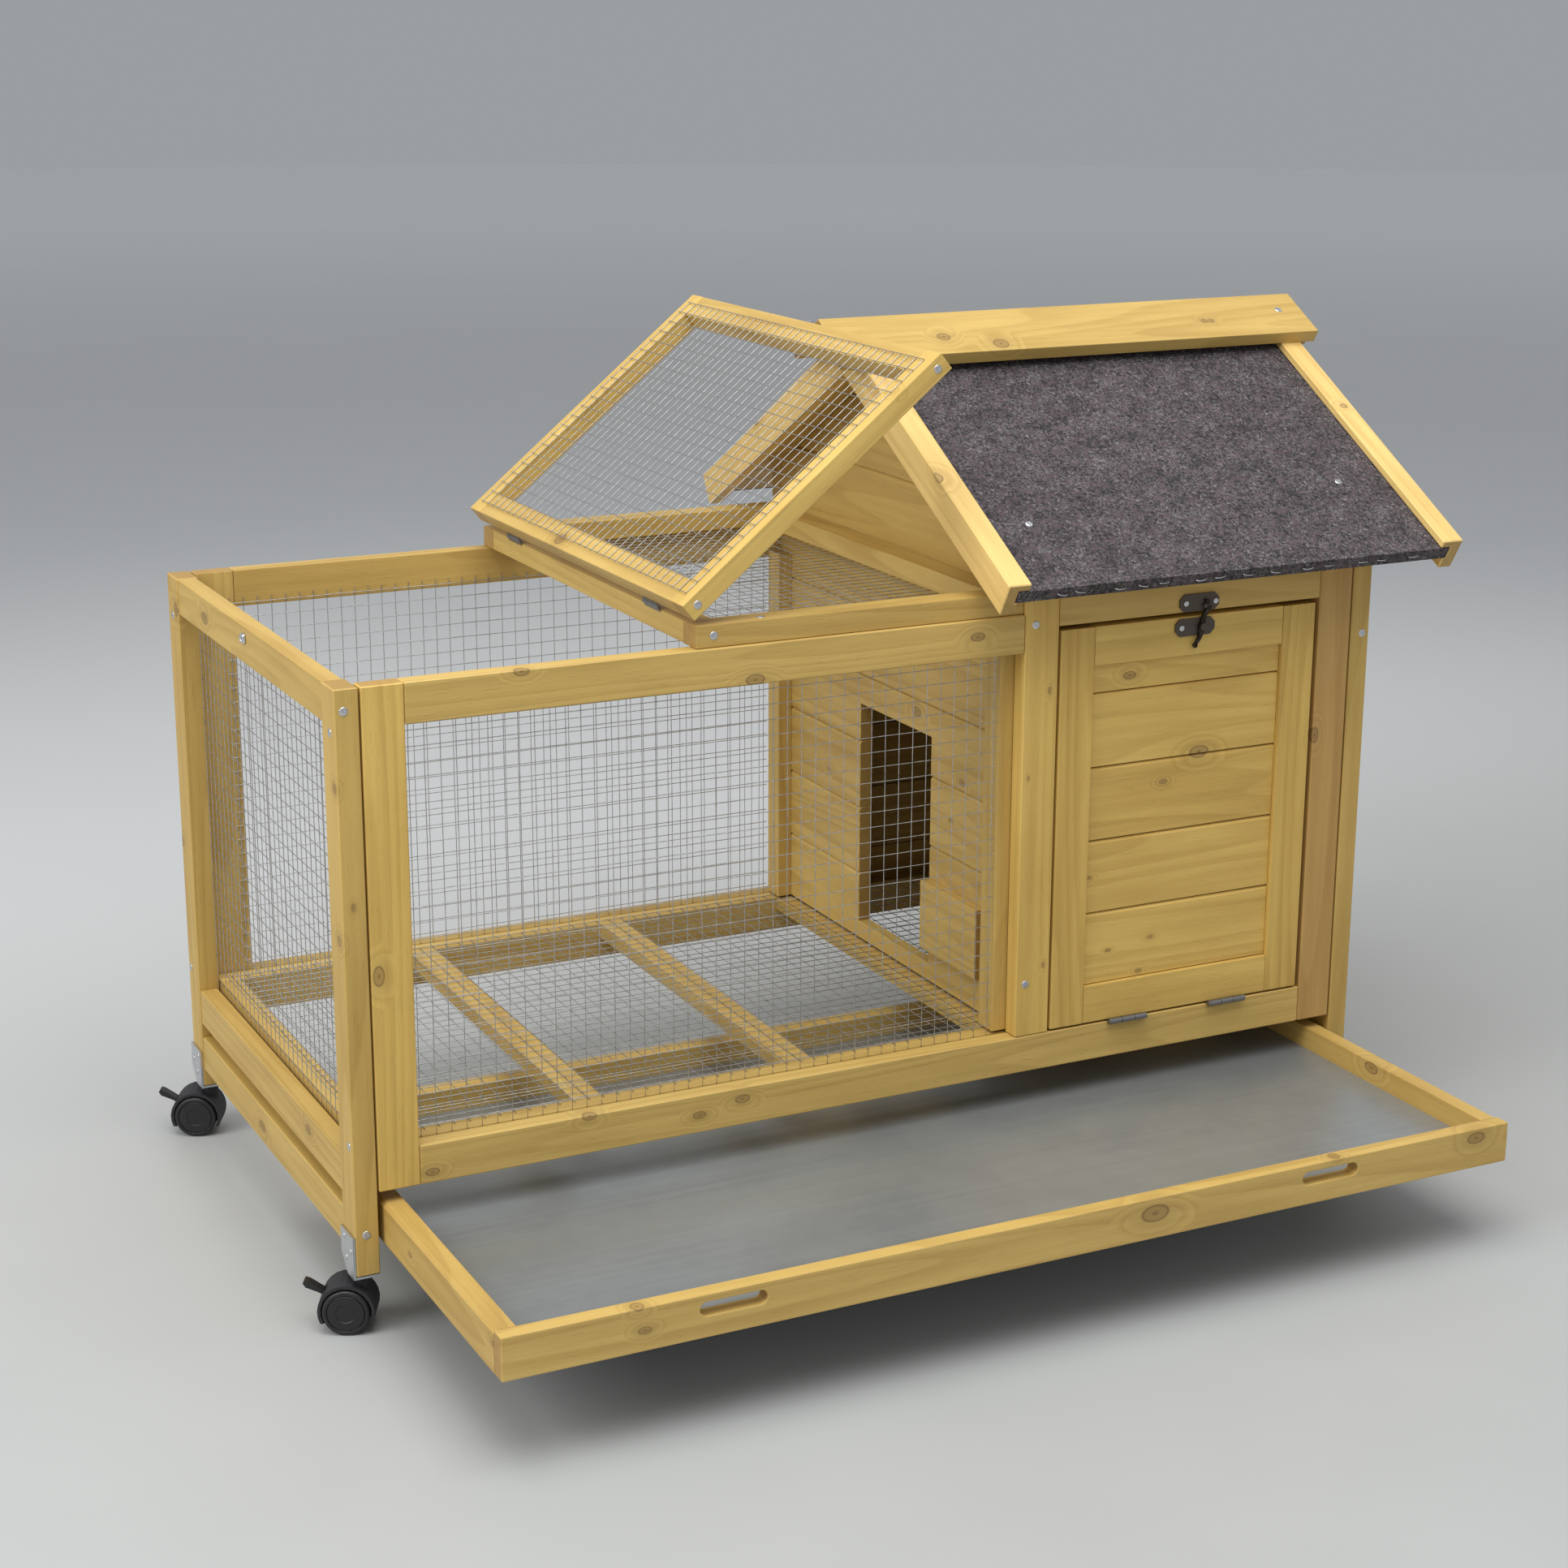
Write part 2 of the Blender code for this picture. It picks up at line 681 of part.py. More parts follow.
def make_run_nets(wire, root):
    """Front, back, end and floor nets, each stapled to the inside of its frame."""
    upright = (Z_FLOOR_TOP - NET_LAP, Z_TOP_RAIL + NET_LAP)
    batten_face = X_HOUSE + WALL_SETBACK - BATTEN_WIDTH
    across = (X_RUN - NET_LAP, batten_face - NET_SIDE_GAP)
    carry(net("front_net", "Y", across, upright, Y_NET, wire), root, Vector())
    carry(net("back_net", "Y", across, upright, Y_BACK_NET, wire), root, Vector())
    end_across = (LEG_DEPTH + FIT_GAP, Y_BACK_LEG - FIT_GAP)
    end_upright = (MID_RAIL_BOTTOM + END_RAIL_HEIGHT - NET_LAP, FRAME_HEIGHT - END_RAIL_HEIGHT + NET_LAP)
    inner = END_RAIL_RECESS + END_RAIL_THICKNESS + FIT_GAP
    carry(net("end_net", "X", end_across, end_upright, inner, wire), root, Vector())
    floor_across = (LEG_WIDTH + BEARER_THICKNESS - NET_LAP, X_RIGHT_LEG - BEARER_THICKNESS + NET_LAP)
    floor_depth = (Y_BEARER + BEARER_THICKNESS - NET_LAP, Y_BACK_BEARER + NET_LAP)
    carry(net("floor_net", "Z", floor_across, floor_depth, Z_FLOOR_NET, wire), root, Vector())


# Roof pieces

def make_roof_boards(wood, felt, root):
    """Two roof boards and one felt sheet that wraps both eaves."""
    left = X_ROOF_LEFT + TRIM_WEB + FIT_GAP
    right = X_ROOF_RIGHT - TRIM_WEB - FIT_GAP
    eave = SLOPE_LENGTH - FELT_THICKNESS - FIT_GAP
    for side, name in ((1, "roof_board_front"), (-1, "roof_board_back")):
        top = ridge_point(BOARD_TOP)
        under = ridge_point(BOARD_UNDER)
        outline = [
            (top[0] - side * FIT_GAP, top[1]),
            slope_point(eave, BOARD_TOP, side),
            slope_point(eave, BOARD_UNDER, side),
            (under[0] - side * FIT_GAP, under[1]),
        ]
        carry(prism(name, outline, "X", left, right, wood), root, Vector())
    outer = [
        slope_point(eave + FIT_GAP, BOARD_UNDER, 1),
        slope_point(SLOPE_LENGTH, BOARD_UNDER, 1),
        slope_point(SLOPE_LENGTH, FELT_TOP, 1),
        ridge_point(FELT_TOP),
        slope_point(SLOPE_LENGTH, FELT_TOP, -1),
        slope_point(SLOPE_LENGTH, BOARD_UNDER, -1),
        slope_point(eave + FIT_GAP, BOARD_UNDER, -1),
        slope_point(eave + FIT_GAP, FELT_UNDER, -1),
        ridge_point(FELT_UNDER),
        slope_point(eave + FIT_GAP, FELT_UNDER, 1),
    ]
    carry(prism("roof_felt", outer, "X", left, right, felt), root, Vector())


def make_verge_trim(name, outer, inward, wood, root):
    """A grooved trim board that runs up one slope and down the other."""
    profile = [
        (0, 0),
        (TRIM_WIDTH, 0),
        (TRIM_WIDTH, TRIM_FLANGE),
        (TRIM_WEB, TRIM_FLANGE),
        (TRIM_WEB, FOOT_TOP),
        (TRIM_FOOT, FOOT_TOP),
        (TRIM_FOOT, TRIM_DEPTH),
        (0, TRIM_DEPTH),
    ]
    bm = bmesh.new()
    stations = []
    for station in ("front", "ridge", "back"):
        ring = []
        for across, depth in profile:
            if station == "ridge":
                place = ridge_point(depth)
            else:
                place = slope_point(SLOPE_LENGTH, depth, 1 if station == "front" else -1)
            ring.append(bm.verts.new((outer + inward * across, *place)))
        stations.append(ring)
    bm.faces.new(stations[0])
    bm.faces.new(stations[2])
    count = len(profile)
    for first, second in zip(stations, stations[1:]):
        for i in range(count):
            j = (i + 1) % count
            bm.faces.new((first[i], first[j], second[j], second[i]))
    carry(ease(add_object(name, bm, wood)), root, Vector())


def make_ridge_cap(wood, root):
    """Two cap boards over the ridge with an end block outside the right trim."""
    seat = -FIT_GAP
    top = seat - CAP_THICKNESS
    outline = [
        slope_point(CAP_BOARD_WIDTH, seat, 1),
        slope_point(CAP_BOARD_WIDTH, top, 1),
        ridge_point(top),
        slope_point(CAP_BOARD_WIDTH, top, -1),
        slope_point(CAP_BOARD_WIDTH, seat, -1),
        ridge_point(seat),
    ]
    cap = prism("ridge_cap", outline, "X", X_CAP_LEFT, X_CAP_RIGHT, wood)
    lower = CAP_BOARD_WIDTH - CAP_END_INSET
    mid = seat - CAP_THICKNESS / 2
    end_outline = [
        slope_point(lower, mid, 1),
        ridge_point(mid),
        slope_point(lower, mid, -1),
        slope_point(lower, CAP_END_DEPTH / 2, -1),
        slope_point(lower - CAP_END_INSET, CAP_END_DEPTH, -1),
        ridge_point(CAP_END_DEPTH),
        slope_point(lower - CAP_END_INSET, CAP_END_DEPTH, 1),
        slope_point(lower, CAP_END_DEPTH / 2, 1),
    ]
    block = prism("block", end_outline, "X", X_ROOF_RIGHT + FIT_GAP, X_CAP_RIGHT - EASED_EDGE, wood)
    carry(ease(join(cap, block)), root, Vector())


# Fixed top frame and lid

def lid_pivot_place():
    """Axis of the lid hinges when the lid is shut."""
    return Vector((TOP_FRAME_LEFT - LID_GAP / 2, RIDGE_Y, Z_TOP_FACE + LID_PIVOT_RISE))


def lid_open_angle():
    """Angle at which the lid's free corner leans on the left end of the ridge cap."""
    pivot = lid_pivot_place()
    corner = Vector((LID_FREE_EDGE - pivot.x, Z_TOP_FACE - pivot.z))
    reach = X_CAP_LEFT - FIT_GAP - pivot.x
    return math.atan2(corner.y, corner.x) + math.acos(-reach / corner.length) + math.pi


def make_top_frame(wood, wire, root):
    """The fixed half of the run's top, with its net under it."""
    right = X_HOUSE - FIT_GAP
    front = TOP_FRAME_SETBACK
    back = BODY_DEPTH - TOP_FRAME_SETBACK
    low = (TOP_FRAME_LEFT, front, Z_TOP_FRAME)
    high = (right, back, Z_TOP_FACE)
    width = TOP_RAIL_WIDTH
    carry(frame_ring("top_frame", low, high, width, width, width, wood), root, Vector())
    across = (TOP_FRAME_LEFT + width - TOP_NET_LAP, right - NET_SIDE_GAP)
    depth = (PANEL_THICKNESS + NET_SIDE_GAP, Y_BACK_PANEL - NET_SIDE_GAP)
    plane = Z_TOP_FRAME - FIT_GAP - NET_THICKNESS
    carry(net("top_net", "Z", across, depth, plane, wire), root, Vector())


def make_lid(wood, wire, pivot):
    """The hinged half: a frame with its net stapled underneath."""
    home = lid_pivot_place()
    low = (LID_FREE_EDGE, LID_SIDE_INSET, Z_LID)
    high = (TOP_FRAME_LEFT - LID_GAP, BODY_DEPTH - LID_SIDE_INSET, Z_TOP_FACE)
    width = TOP_RAIL_WIDTH
    carry(frame_ring("lid_frame", low, high, width, width, width, wood), pivot, home)
    across = (low[0] + width - TOP_NET_LAP, high[0] - width + TOP_NET_LAP)
    depth = (low[1] + width - TOP_NET_LAP, high[1] - width + TOP_NET_LAP)
    carry(net("lid_net", "Z", across, depth, Z_LID - FIT_GAP - NET_THICKNESS, wire), pivot, home)


def hinge_leaf(name, own, length, steel, has_pin):
    """A butt hinge leaf about its own axis: plate below, its share of the knuckle, pin or bore."""
    half = LID_LEAF_THICKNESS + FIT_GAP / 2
    near = FIT_GAP / 2
    low = (near, -length / 2, -LID_PIVOT_RISE - LID_LEAF_HEIGHT)
    leaf = box(name, low, (half, length / 2, HINGE_PIN_RADIUS), steel)
    stops = [(share - 0.5) * length for share in HINGE_KNUCKLE_SHARES]
    spans = list(zip(stops, stops[1:]))
    rolls = []
    clears = []
    for i, (start, end) in enumerate(spans):
        if i % 2 == own:
            first = start if i == 0 else start + FIT_GAP / 2
            last = end if i == len(spans) - 1 else end - FIT_GAP / 2
            roll = cylinder(f"roll {i}", (0, 0), "Y", LID_KNUCKLE_RADIUS, first, last, steel)
            rolls.append(roll)
        else:
            reach = LID_KNUCKLE_RADIUS + FIT_GAP
            first = start - OVERRUN if i == 0 else start - FIT_GAP / 2
            last = end + OVERRUN if i == len(spans) - 1 else end + FIT_GAP / 2
            clears.append(box(f"clear {i}", (-reach, first, -reach), (reach, last, reach), steel))
    join(leaf, *rolls)
    cut(leaf, *clears)
    if has_pin:
        join(leaf, cylinder("pin", (0, 0), "Y", HINGE_PIN_RADIUS, stops[0] + FIT_GAP, stops[-1] - FIT_GAP, steel))
    else:
        bore = HINGE_PIN_RADIUS + FIT_GAP
        cut(leaf, cylinder("bore", (0, 0), "Y", bore, stops[0] - OVERRUN, stops[-1] + OVERRUN, steel))
    return round_shade(leaf)


def share_mesh(name, source, location, turn=0.0):
    """Another object with the same mesh."""
    twin = bpy.data.objects.new(name, source.data)
    twin.location = location
    twin.rotation_euler = (0, 0, turn)
    bpy.context.scene.collection.objects.link(twin)
    return twin


def settle_origin(obj):
    """Put the object's own origin at the bench zero without moving the shape."""
    obj.data.transform(Matrix.Translation(obj.location))
    obj.location = (0, 0, 0)
    return obj


def make_lid_hinges(steel, root, pivot):
    """Two butt hinges: one leaf on the fixed frame's left face, one on the lid."""
    home = lid_pivot_place()
    fixed = settle_origin(hinge_leaf("lid_hinge_front_fixed", 0, LID_HINGE_LENGTH, steel, True))
    moving = hinge_leaf("lid_hinge_front_moving", 1, LID_HINGE_LENGTH, steel, False)
    settle_origin(moving)
    moving.data.transform(Matrix.Scale(-1, 4, (1, 0, 0)))
    moving.data.flip_normals()
    offset = BODY_DEPTH / 2 - LID_HINGE_INSET
    leaves = ((fixed, "fixed", root, home), (moving, "moving", pivot, Vector()))
    for leaf, kind, parent, place in leaves:
        leaf.location = place + Vector((0, -offset, 0))
        leaf.parent = parent
        twin = share_mesh(f"lid_hinge_back_{kind}", leaf, place + Vector((0, offset, 0)))
        twin.parent = parent


def make_lid_catch(steel, root, pivot):
    """A strike clip on the left end's top rail and the lid's small spring tab."""
    home = lid_pivot_place()
    face = END_RAIL_RECESS - FIT_GAP
    middle = FRAME_HEIGHT - CATCH_DROP
    low = (face - CATCH_THICKNESS, RIDGE_Y - CATCH_WIDTH / 2, middle - CATCH_HEIGHT / 2)
    high = (face, RIDGE_Y + CATCH_WIDTH / 2, middle + CATCH_HEIGHT / 2)
    strike = box("lid_catch_strike", low, high, steel)
    window = box(
        "window",
        (low[0] - OVERRUN, low[1] + CATCH_WALL, low[2] + CATCH_WALL),
        (high[0] - CATCH_WALL, high[1] - CATCH_WALL, high[2] - CATCH_WALL),
        steel,
    )
    carry(cut(strike, window), root, Vector())
    lid_face = LID_FREE_EDGE - FIT_GAP
    tab_top = Z_TOP_FACE - CATCH_TAB_DROP
    tab_foot = Z_LID + CATCH_WALL
    outline = [
        (lid_face, tab_foot),
        (lid_face, tab_top),
        (lid_face - CATCH_WALL, tab_top),
        (lid_face - CATCH_WALL, tab_foot + CATCH_WALL),
        (lid_face - CATCH_THICKNESS, tab_foot + CATCH_WALL),
        (lid_face - CATCH_THICKNESS, tab_foot),
    ]
    tab = prism("lid_catch_tab", outline, "Y", RIDGE_Y - CATCH_WIDTH / 2, RIDGE_Y + CATCH_WIDTH / 2, steel)
    carry(tab, pivot, home)


# Door and its fastener

def door_box():
    """Low and high corners of the shut door."""
    low = Vector((X_DOOR + DOOR_SIDE_GAP, 0, Z_FLOOR_TOP + DOOR_BOTTOM_GAP))
    high = Vector((X_RIGHT_STILE - DOOR_LATCH_GAP, DOOR_THICKNESS, HEADER_BOTTOM - DOOR_TOP_GAP))
    return low, high


def door_pivot_place():
    """Axis of the door hinges, in front of the joint under the door."""
    low, high = door_box()
    return Vector(((low.x + high.x) / 2, -DOOR_KNUCKLE_RADIUS - FIT_GAP * 2, (low.z + Z_FLOOR_TOP) / 2))


def make_door(wood, pivot):
    """A framed door whose recessed panel is a stack of grooved slats."""
    home = door_pivot_place()
    low, high = door_box()
    outer = box("door_frame", low, high, wood)
    inner_low = (low.x + DOOR_STILE_WIDTH, low.y - OVERRUN, low.z + DOOR_RAIL_HEIGHT)
    inner_high = (high.x - DOOR_STILE_WIDTH, high.y + OVERRUN, high.z - DOOR_RAIL_HEIGHT)
    frame = ease(cut(outer, box("inner", inner_low, inner_high, wood)))
    carry(frame, pivot, home)
    face = low.y + DOOR_PANEL_RECESS
    panel = box(
        "door_panel",
        (inner_low[0] + FIT_GAP, face, inner_low[2] + FIT_GAP),
        (inner_high[0] - FIT_GAP, face + DOOR_PANEL_THICKNESS, inner_high[2] - FIT_GAP),
        wood,
    )
    heights = [inner_low[2] + DOOR_SLAT * (i + 1) for i in range(DOOR_SLATS)]
    heights = [height for height in heights if height < inner_high[2] - GROOVE_DEPTH * 3]
    span = (inner_low[0] - OVERRUN, inner_high[0] + OVERRUN)
    cut(panel, *grooves("X", face, 1, span, heights, wood))
    carry(panel, pivot, home)


def make_door_hinges(steel, root):
    """Two hinge knuckles in front of the door's lower joint, each with its leaf on the rail."""
    place = door_pivot_place()
    top = Z_FLOOR_TOP + FIT_GAP
    for side, name in ((-1, "door_hinge_left"), (1, "door_hinge_right")):
        middle = place.x + side * DOOR_HINGE_SPREAD / 2
        start = middle - DOOR_HINGE_LENGTH / 2
        end = middle + DOOR_HINGE_LENGTH / 2
        barrel = cylinder(name, (place.y, place.z), "X", DOOR_KNUCKLE_RADIUS, start, end, steel)
        leaf = box(
            "leaf",
            (start, place.y, top),
            (end, DOOR_LEAF_DEPTH, top + DOOR_LEAF_THICKNESS),
            steel,
        )
        rim = [(start + DOOR_HINGE_LENGTH * share) for share in HINGE_KNUCKLE_SHARES[1:-1]]
        join(barrel, leaf)
        seams = []
        for i, seam in enumerate(rim):
            ring = cylinder(f"seam {i}", (place.y, place.z), "X", DOOR_KNUCKLE_RADIUS * 2,
                            seam - FIT_GAP, seam + FIT_GAP, steel)
            core = cylinder(f"core {i}", (place.y, place.z), "X", DOOR_KNUCKLE_RADIUS - FIT_GAP * 2,
                            seam - OVERRUN, seam + OVERRUN, steel)
            shield = box(f"shield {i}", (seam - OVERRUN, 0, top - OVERRUN),
                         (seam + OVERRUN, OVERRUN * 2, top + OVERRUN), steel)
            seams.append(cut(ring, core, shield))
        cut(barrel, *seams)
        carry(round_shade(barrel), root, Vector())


def rounded_plate(name, low, high, corner, near, far, material):
    """A plate with cut corners, upright, facing the front."""
    outline = [
        (low[0] + corner, low[1]),
        (high[0] - corner, low[1]),
        (high[0], low[1] + corner),
        (high[0], high[1] - corner),
        (high[0] - corner, high[1]),
        (low[0] + corner, high[1]),
        (low[0], high[1] - corner),
        (low[0], low[1] + corner),
    ]
    return prism(name, outline, "Y", near, far, material)


def hasp_layout():
    """Places of the fastener's parts on the shut door, in X and Z."""
    low, high = door_box()
    middle = (low.x + high.x) / 2 + HASP_OFFSET
    header = (middle - HASP_WIDTH / 2, HEADER_BOTTOM + HASP_LIFT)
    keeper = (header[0] - HASP_SHIFT, high.z - HASP_LIFT * 3 - HASP_HEIGHT)
    peg = (middle + PEG_SHIFT, header[1] + PEG_RISE)
    stud = (keeper[0] + HASP_WIDTH / 2 + STUD_SHIFT, keeper[1] + HASP_HEIGHT / 2)
    return header, keeper, peg, stud


def arc_points(centre, radius, start_deg, end_deg, steps):
    """Points on an arc in X and Z."""
    points = []
    for i in range(steps + 1):
        angle = math.radians(start_deg + (end_deg - start_deg) * i / steps)
        points.append((centre[0] + radius * math.cos(angle), centre[1] + radius * math.sin(angle)))
    return points


def make_fastener(bronze, root, door, hook_pivot):
    """Header plate with its peg, door plate with its stud, and the hook that turns on the stud."""
    header, keeper, peg, stud = hasp_layout()
    near = -HASP_THICKNESS - FIT_GAP
    back = near - FIT_GAP
    front = back - HOOK_THICKNESS
    top = (header[0] + HASP_WIDTH, header[1] + HASP_HEIGHT)
    plate = rounded_plate("hasp_header_plate", header, top, HASP_CORNER, near, -FIT_GAP, bronze)
    pin = cylinder("pin", peg, "Y", PEG_RADIUS, front, near + HASP_THICKNESS / 2, bronze)
    carry(round_shade(join(plate, pin)), root, Vector())

    home = door_pivot_place()
    keeper_top = (keeper[0] + HASP_WIDTH, keeper[1] + HASP_HEIGHT)
    door_plate = rounded_plate("hasp_door_plate", keeper, keeper_top, HASP_CORNER, near, -FIT_GAP, bronze)
    shank = cylinder("shank", stud, "Y", PEG_RADIUS, front - FIT_GAP * 2, near + HASP_THICKNESS / 2, bronze)
    head = cylinder("head", stud, "Y", STUD_HEAD_RADIUS, front - FIT_GAP - STUD_HEAD, front - FIT_GAP, bronze)
    carry(round_shade(join(door_plate, shank, head)), door, home)

    bowl = PEG_RADIUS + FIT_GAP * 2
    rim = bowl + HOOK_WIDTH
    quarter = ROUND_STEPS // 2
    inner = arc_points(peg, bowl, 90, -70, quarter)
    outer = arc_points(peg, rim, -30, 90, quarter)
    side = HOOK_WIDTH / 2
    tip = (stud[0] - TAIL_SHIFT, stud[1] - TAIL_DROP)
    outline = [
        *inner,
        (stud[0] - side, stud[1]),
        (stud[0] - side - TAIL_SHIFT / 4, stud[1] - TAIL_DROP / 2),
        (tip[0] - side, tip[1] + side),
        tip,
        (stud[0] + side / 2, stud[1] - TAIL_DROP / 2),
        (stud[0] + side, stud[1]),
        *outer,
    ]
    hook = prism("hasp_hook", outline, "Y", front, back, bronze)
    boss = cylinder("boss", stud, "Y", HOOK_BOSS_RADIUS, front, back, bronze)
    bore = cylinder("bore", stud, "Y", PEG_RADIUS + FIT_GAP, front - OVERRUN, back + OVERRUN, bronze)
    join(hook, boss)
    cut(hook, bore)
    place = Vector((stud[0], front, stud[1]))
    hook_pivot.location = place - home
    carry(round_shade(hook), hook_pivot, place)


# Tray

def make_tray(wood, sheet, slide):
    """A wooden tray frame with a loose metal sheet let into a groove."""
    home = Vector((0, 0, Z_TRAY))
    left = LEG_WIDTH + TRAY_CLEARANCE
    right = X_RIGHT_LEG - TRAY_CLEARANCE
    high_z = Z_TRAY + TRAY_HEIGHT
    tray = box("tray_frame", (left, 0, Z_TRAY), (right, TRAY_DEPTH, high_z), wood)
    inner_low = (left + TRAY_SIDE_WIDTH, TRAY_FRONT_WIDTH)
    inner_high = (right - TRAY_SIDE_WIDTH, TRAY_DEPTH - TRAY_SIDE_WIDTH)
    well = box("well", (*inner_low, Z_TRAY - OVERRUN), (*inner_high, high_z + OVERRUN), wood)
    sheet_top = high_z - TRAY_SHEET_DROP
    sheet_low = sheet_top - TRAY_SHEET_THICKNESS
    reach = TRAY_SHEET_TONGUE
    groove = box(
        "groove",
        (inner_low[0] - reach, inner_low[1] - reach, sheet_low - FIT_GAP),
        (inner_high[0] + reach, inner_high[1] + reach, sheet_top + FIT_GAP),
        wood,
    )
    tray = ease(cut(tray, well), TRAY_FRONT_RADIUS)
    slots = []
    radius = SLOT_HEIGHT / 2
    flat = SLOT_LENGTH / 2 - radius
    for centre in (left + SLOT_INSET, right - SLOT_INSET):
        middle = Z_TRAY + SLOT_RISE
        outline = arc_points((centre + flat, middle), radius, -90, 90, ROUND_STEPS // 2)
        outline += arc_points((centre - flat, middle), radius, 90, 270, ROUND_STEPS // 2)
        slots.append(prism("slot", outline, "Y", -OVERRUN, TRAY_FRONT_WIDTH + OVERRUN, wood))
    cut(tray, groove, *slots)
    carry(tray, slide, home)
    margin = reach - FIT_GAP
    low = (inner_low[0] - margin, inner_low[1] - margin, sheet_low)
    high = (inner_high[0] + margin, inner_high[1] + margin, sheet_top)
    carry(box("tray_sheet", low, high, sheet), slide, home)


# Casters, each built about its own stem axis with zero at the foot of the leg

def make_bracket(steel):
    """A folded plate that wraps the leg's outer face and foot and holds the stem."""
    outer = -LEG_WIDTH / 2 - FIT_GAP
    front = -LEG_DEPTH / 2 + PLATE_INSET
    back = LEG_DEPTH / 2 - PLATE_INSET
    foot = -FIT_GAP - PLATE_THICKNESS
    outline = [
        (front, foot),
        (back - PLATE_CORNER, foot),
        (back, foot + PLATE_CORNER),
        (back, PLATE_HEIGHT),
        (front, PLATE_HEIGHT),
    ]
    plate = prism("caster_bracket", outline, "X", outer - PLATE_THICKNESS, outer, steel)
    fold = box(
        "fold",
        (outer - PLATE_THICKNESS / 2, front, foot),
        (LEG_WIDTH / 2, back - PLATE_CORNER / 2, -FIT_GAP),
        steel,
    )
    stem = cylinder("stem", (0, 0), "Z", STEM_RADIUS, foot - STEM_LENGTH, foot + PLATE_THICKNESS / 2, steel)
    return settle_origin(round_shade(join(plate, fold, stem)))


def caster_top():
    """Height of the top of the caster body under the bracket."""
    return -PLATE_THICKNESS - FIT_GAP * 2


def axle_height():
    """Height of the wheel axle below the foot of the leg."""
    return WHEEL_RADIUS - CASTER_HEIGHT


def make_caster_body(nylon):
    """Hood, web and stem housing in one moulding, with wells for the two wheels."""
    centre = (-CASTER_TRAIL, axle_height())
    well_radius = WHEEL_RADIUS + HOOD_CLEARANCE
    outside = well_radius + HOOD_THICKNESS
    finish = HOOD_START_DEG + HOOD_SWEEP_DEG
    outline = arc_points(centre, outside, HOOD_START_DEG, finish, ROUND_STEPS)
    body = prism("caster_body", outline, "Y", -HOOD_HALF_WIDTH, HOOD_HALF_WIDTH, nylon)
    top = caster_top()
    housing = cylinder("housing", (0, 0), "Z", HOUSING_RADIUS, axle_height() + WHEEL_RADIUS / 3, top, nylon)
    half_web = CASTER_WEB / 2
    wells = [
        cylinder("well", centre, "Y", well_radius, half_web, HOOD_HALF_WIDTH + OVERRUN, nylon, WHEEL_STEPS),
        cylinder("well", centre, "Y", well_radius, -HOOD_HALF_WIDTH - OVERRUN, -half_web, nylon, WHEEL_STEPS),
    ]
    bore = cylinder("bore", centre, "Y", AXLE_RADIUS + FIT_GAP, -OVERRUN * 2, OVERRUN * 2, nylon)
    socket_depth = STEM_LENGTH + FIT_GAP * 2
    socket = cylinder("socket", (0, 0), "Z", STEM_RADIUS + FIT_GAP, top - socket_depth, top + OVERRUN, nylon)
    angle = math.radians(BRAKE_ANGLE_DEG)
    slot = box(
        "slot",
        (well_radius - HOOD_CLEARANCE / 2, -BRAKE_WIDTH / 2 - HOOD_CLEARANCE, -BRAKE_SLOT / 2),
        (outside + OVERRUN, BRAKE_WIDTH / 2 + HOOD_CLEARANCE, BRAKE_SLOT / 2),
        nylon,
    )
    settle_origin(slot)
    slot.rotation_euler = (0, -angle, 0)
    slot.location = (centre[0], 0, centre[1])
    bpy.context.view_layer.update()
    join(body, housing)
    cut(body, *wells, bore, socket, slot)
    return settle_origin(round_shade(body))


def make_wheel_pair(nylon):
    """Two wheel discs on one axle, turned as one piece about its own centre."""
    inner = CASTER_WEB / 2 + FIT_GAP * 2
    outer = inner + WHEEL_WIDTH
    half = [
        (AXLE_RADIUS, 0),
        (AXLE_RADIUS, inner),
        (WHEEL_RADIUS - WHEEL_RIM, inner),
        (WHEEL_RADIUS, inner + WHEEL_RIM),
        (WHEEL_RADIUS, outer - WHEEL_RIM),
        (WHEEL_RADIUS - WHEEL_RIM, outer),
    ]
    profile = [(radius, -place) for radius, place in reversed(half)] + half[1:]
    bm = bmesh.new()
    rings = []
    for i in range(WHEEL_STEPS):
        angle = 2 * math.pi * (i + 0.5) / WHEEL_STEPS
        ring = [bm.verts.new((r * math.cos(angle), y, r * math.sin(angle))) for r, y in profile]
        rings.append(ring)
    for i in range(WHEEL_STEPS):
        first = rings[i]
        second = rings[(i + 1) % WHEEL_STEPS]
        for j in range(len(profile) - 1):
            bm.faces.new((first[j], first[j + 1], second[j + 1], second[j]))
    bm.faces.new([ring[0] for ring in rings])
    bm.faces.new([ring[-1] for ring in rings])
    return settle_origin(round_shade(add_object("caster_wheels", bm, nylon)))


def brake_place():
    """Pivot of the brake lever in its slot, from the stem axis."""
    reach = WHEEL_RADIUS + HOOD_CLEARANCE + HOOD_THICKNESS / 2
    angle = math.radians(BRAKE_ANGLE_DEG)
    return Vector((-CASTER_TRAIL + reach * math.cos(angle), 0, axle_height() + reach * math.sin(angle)))


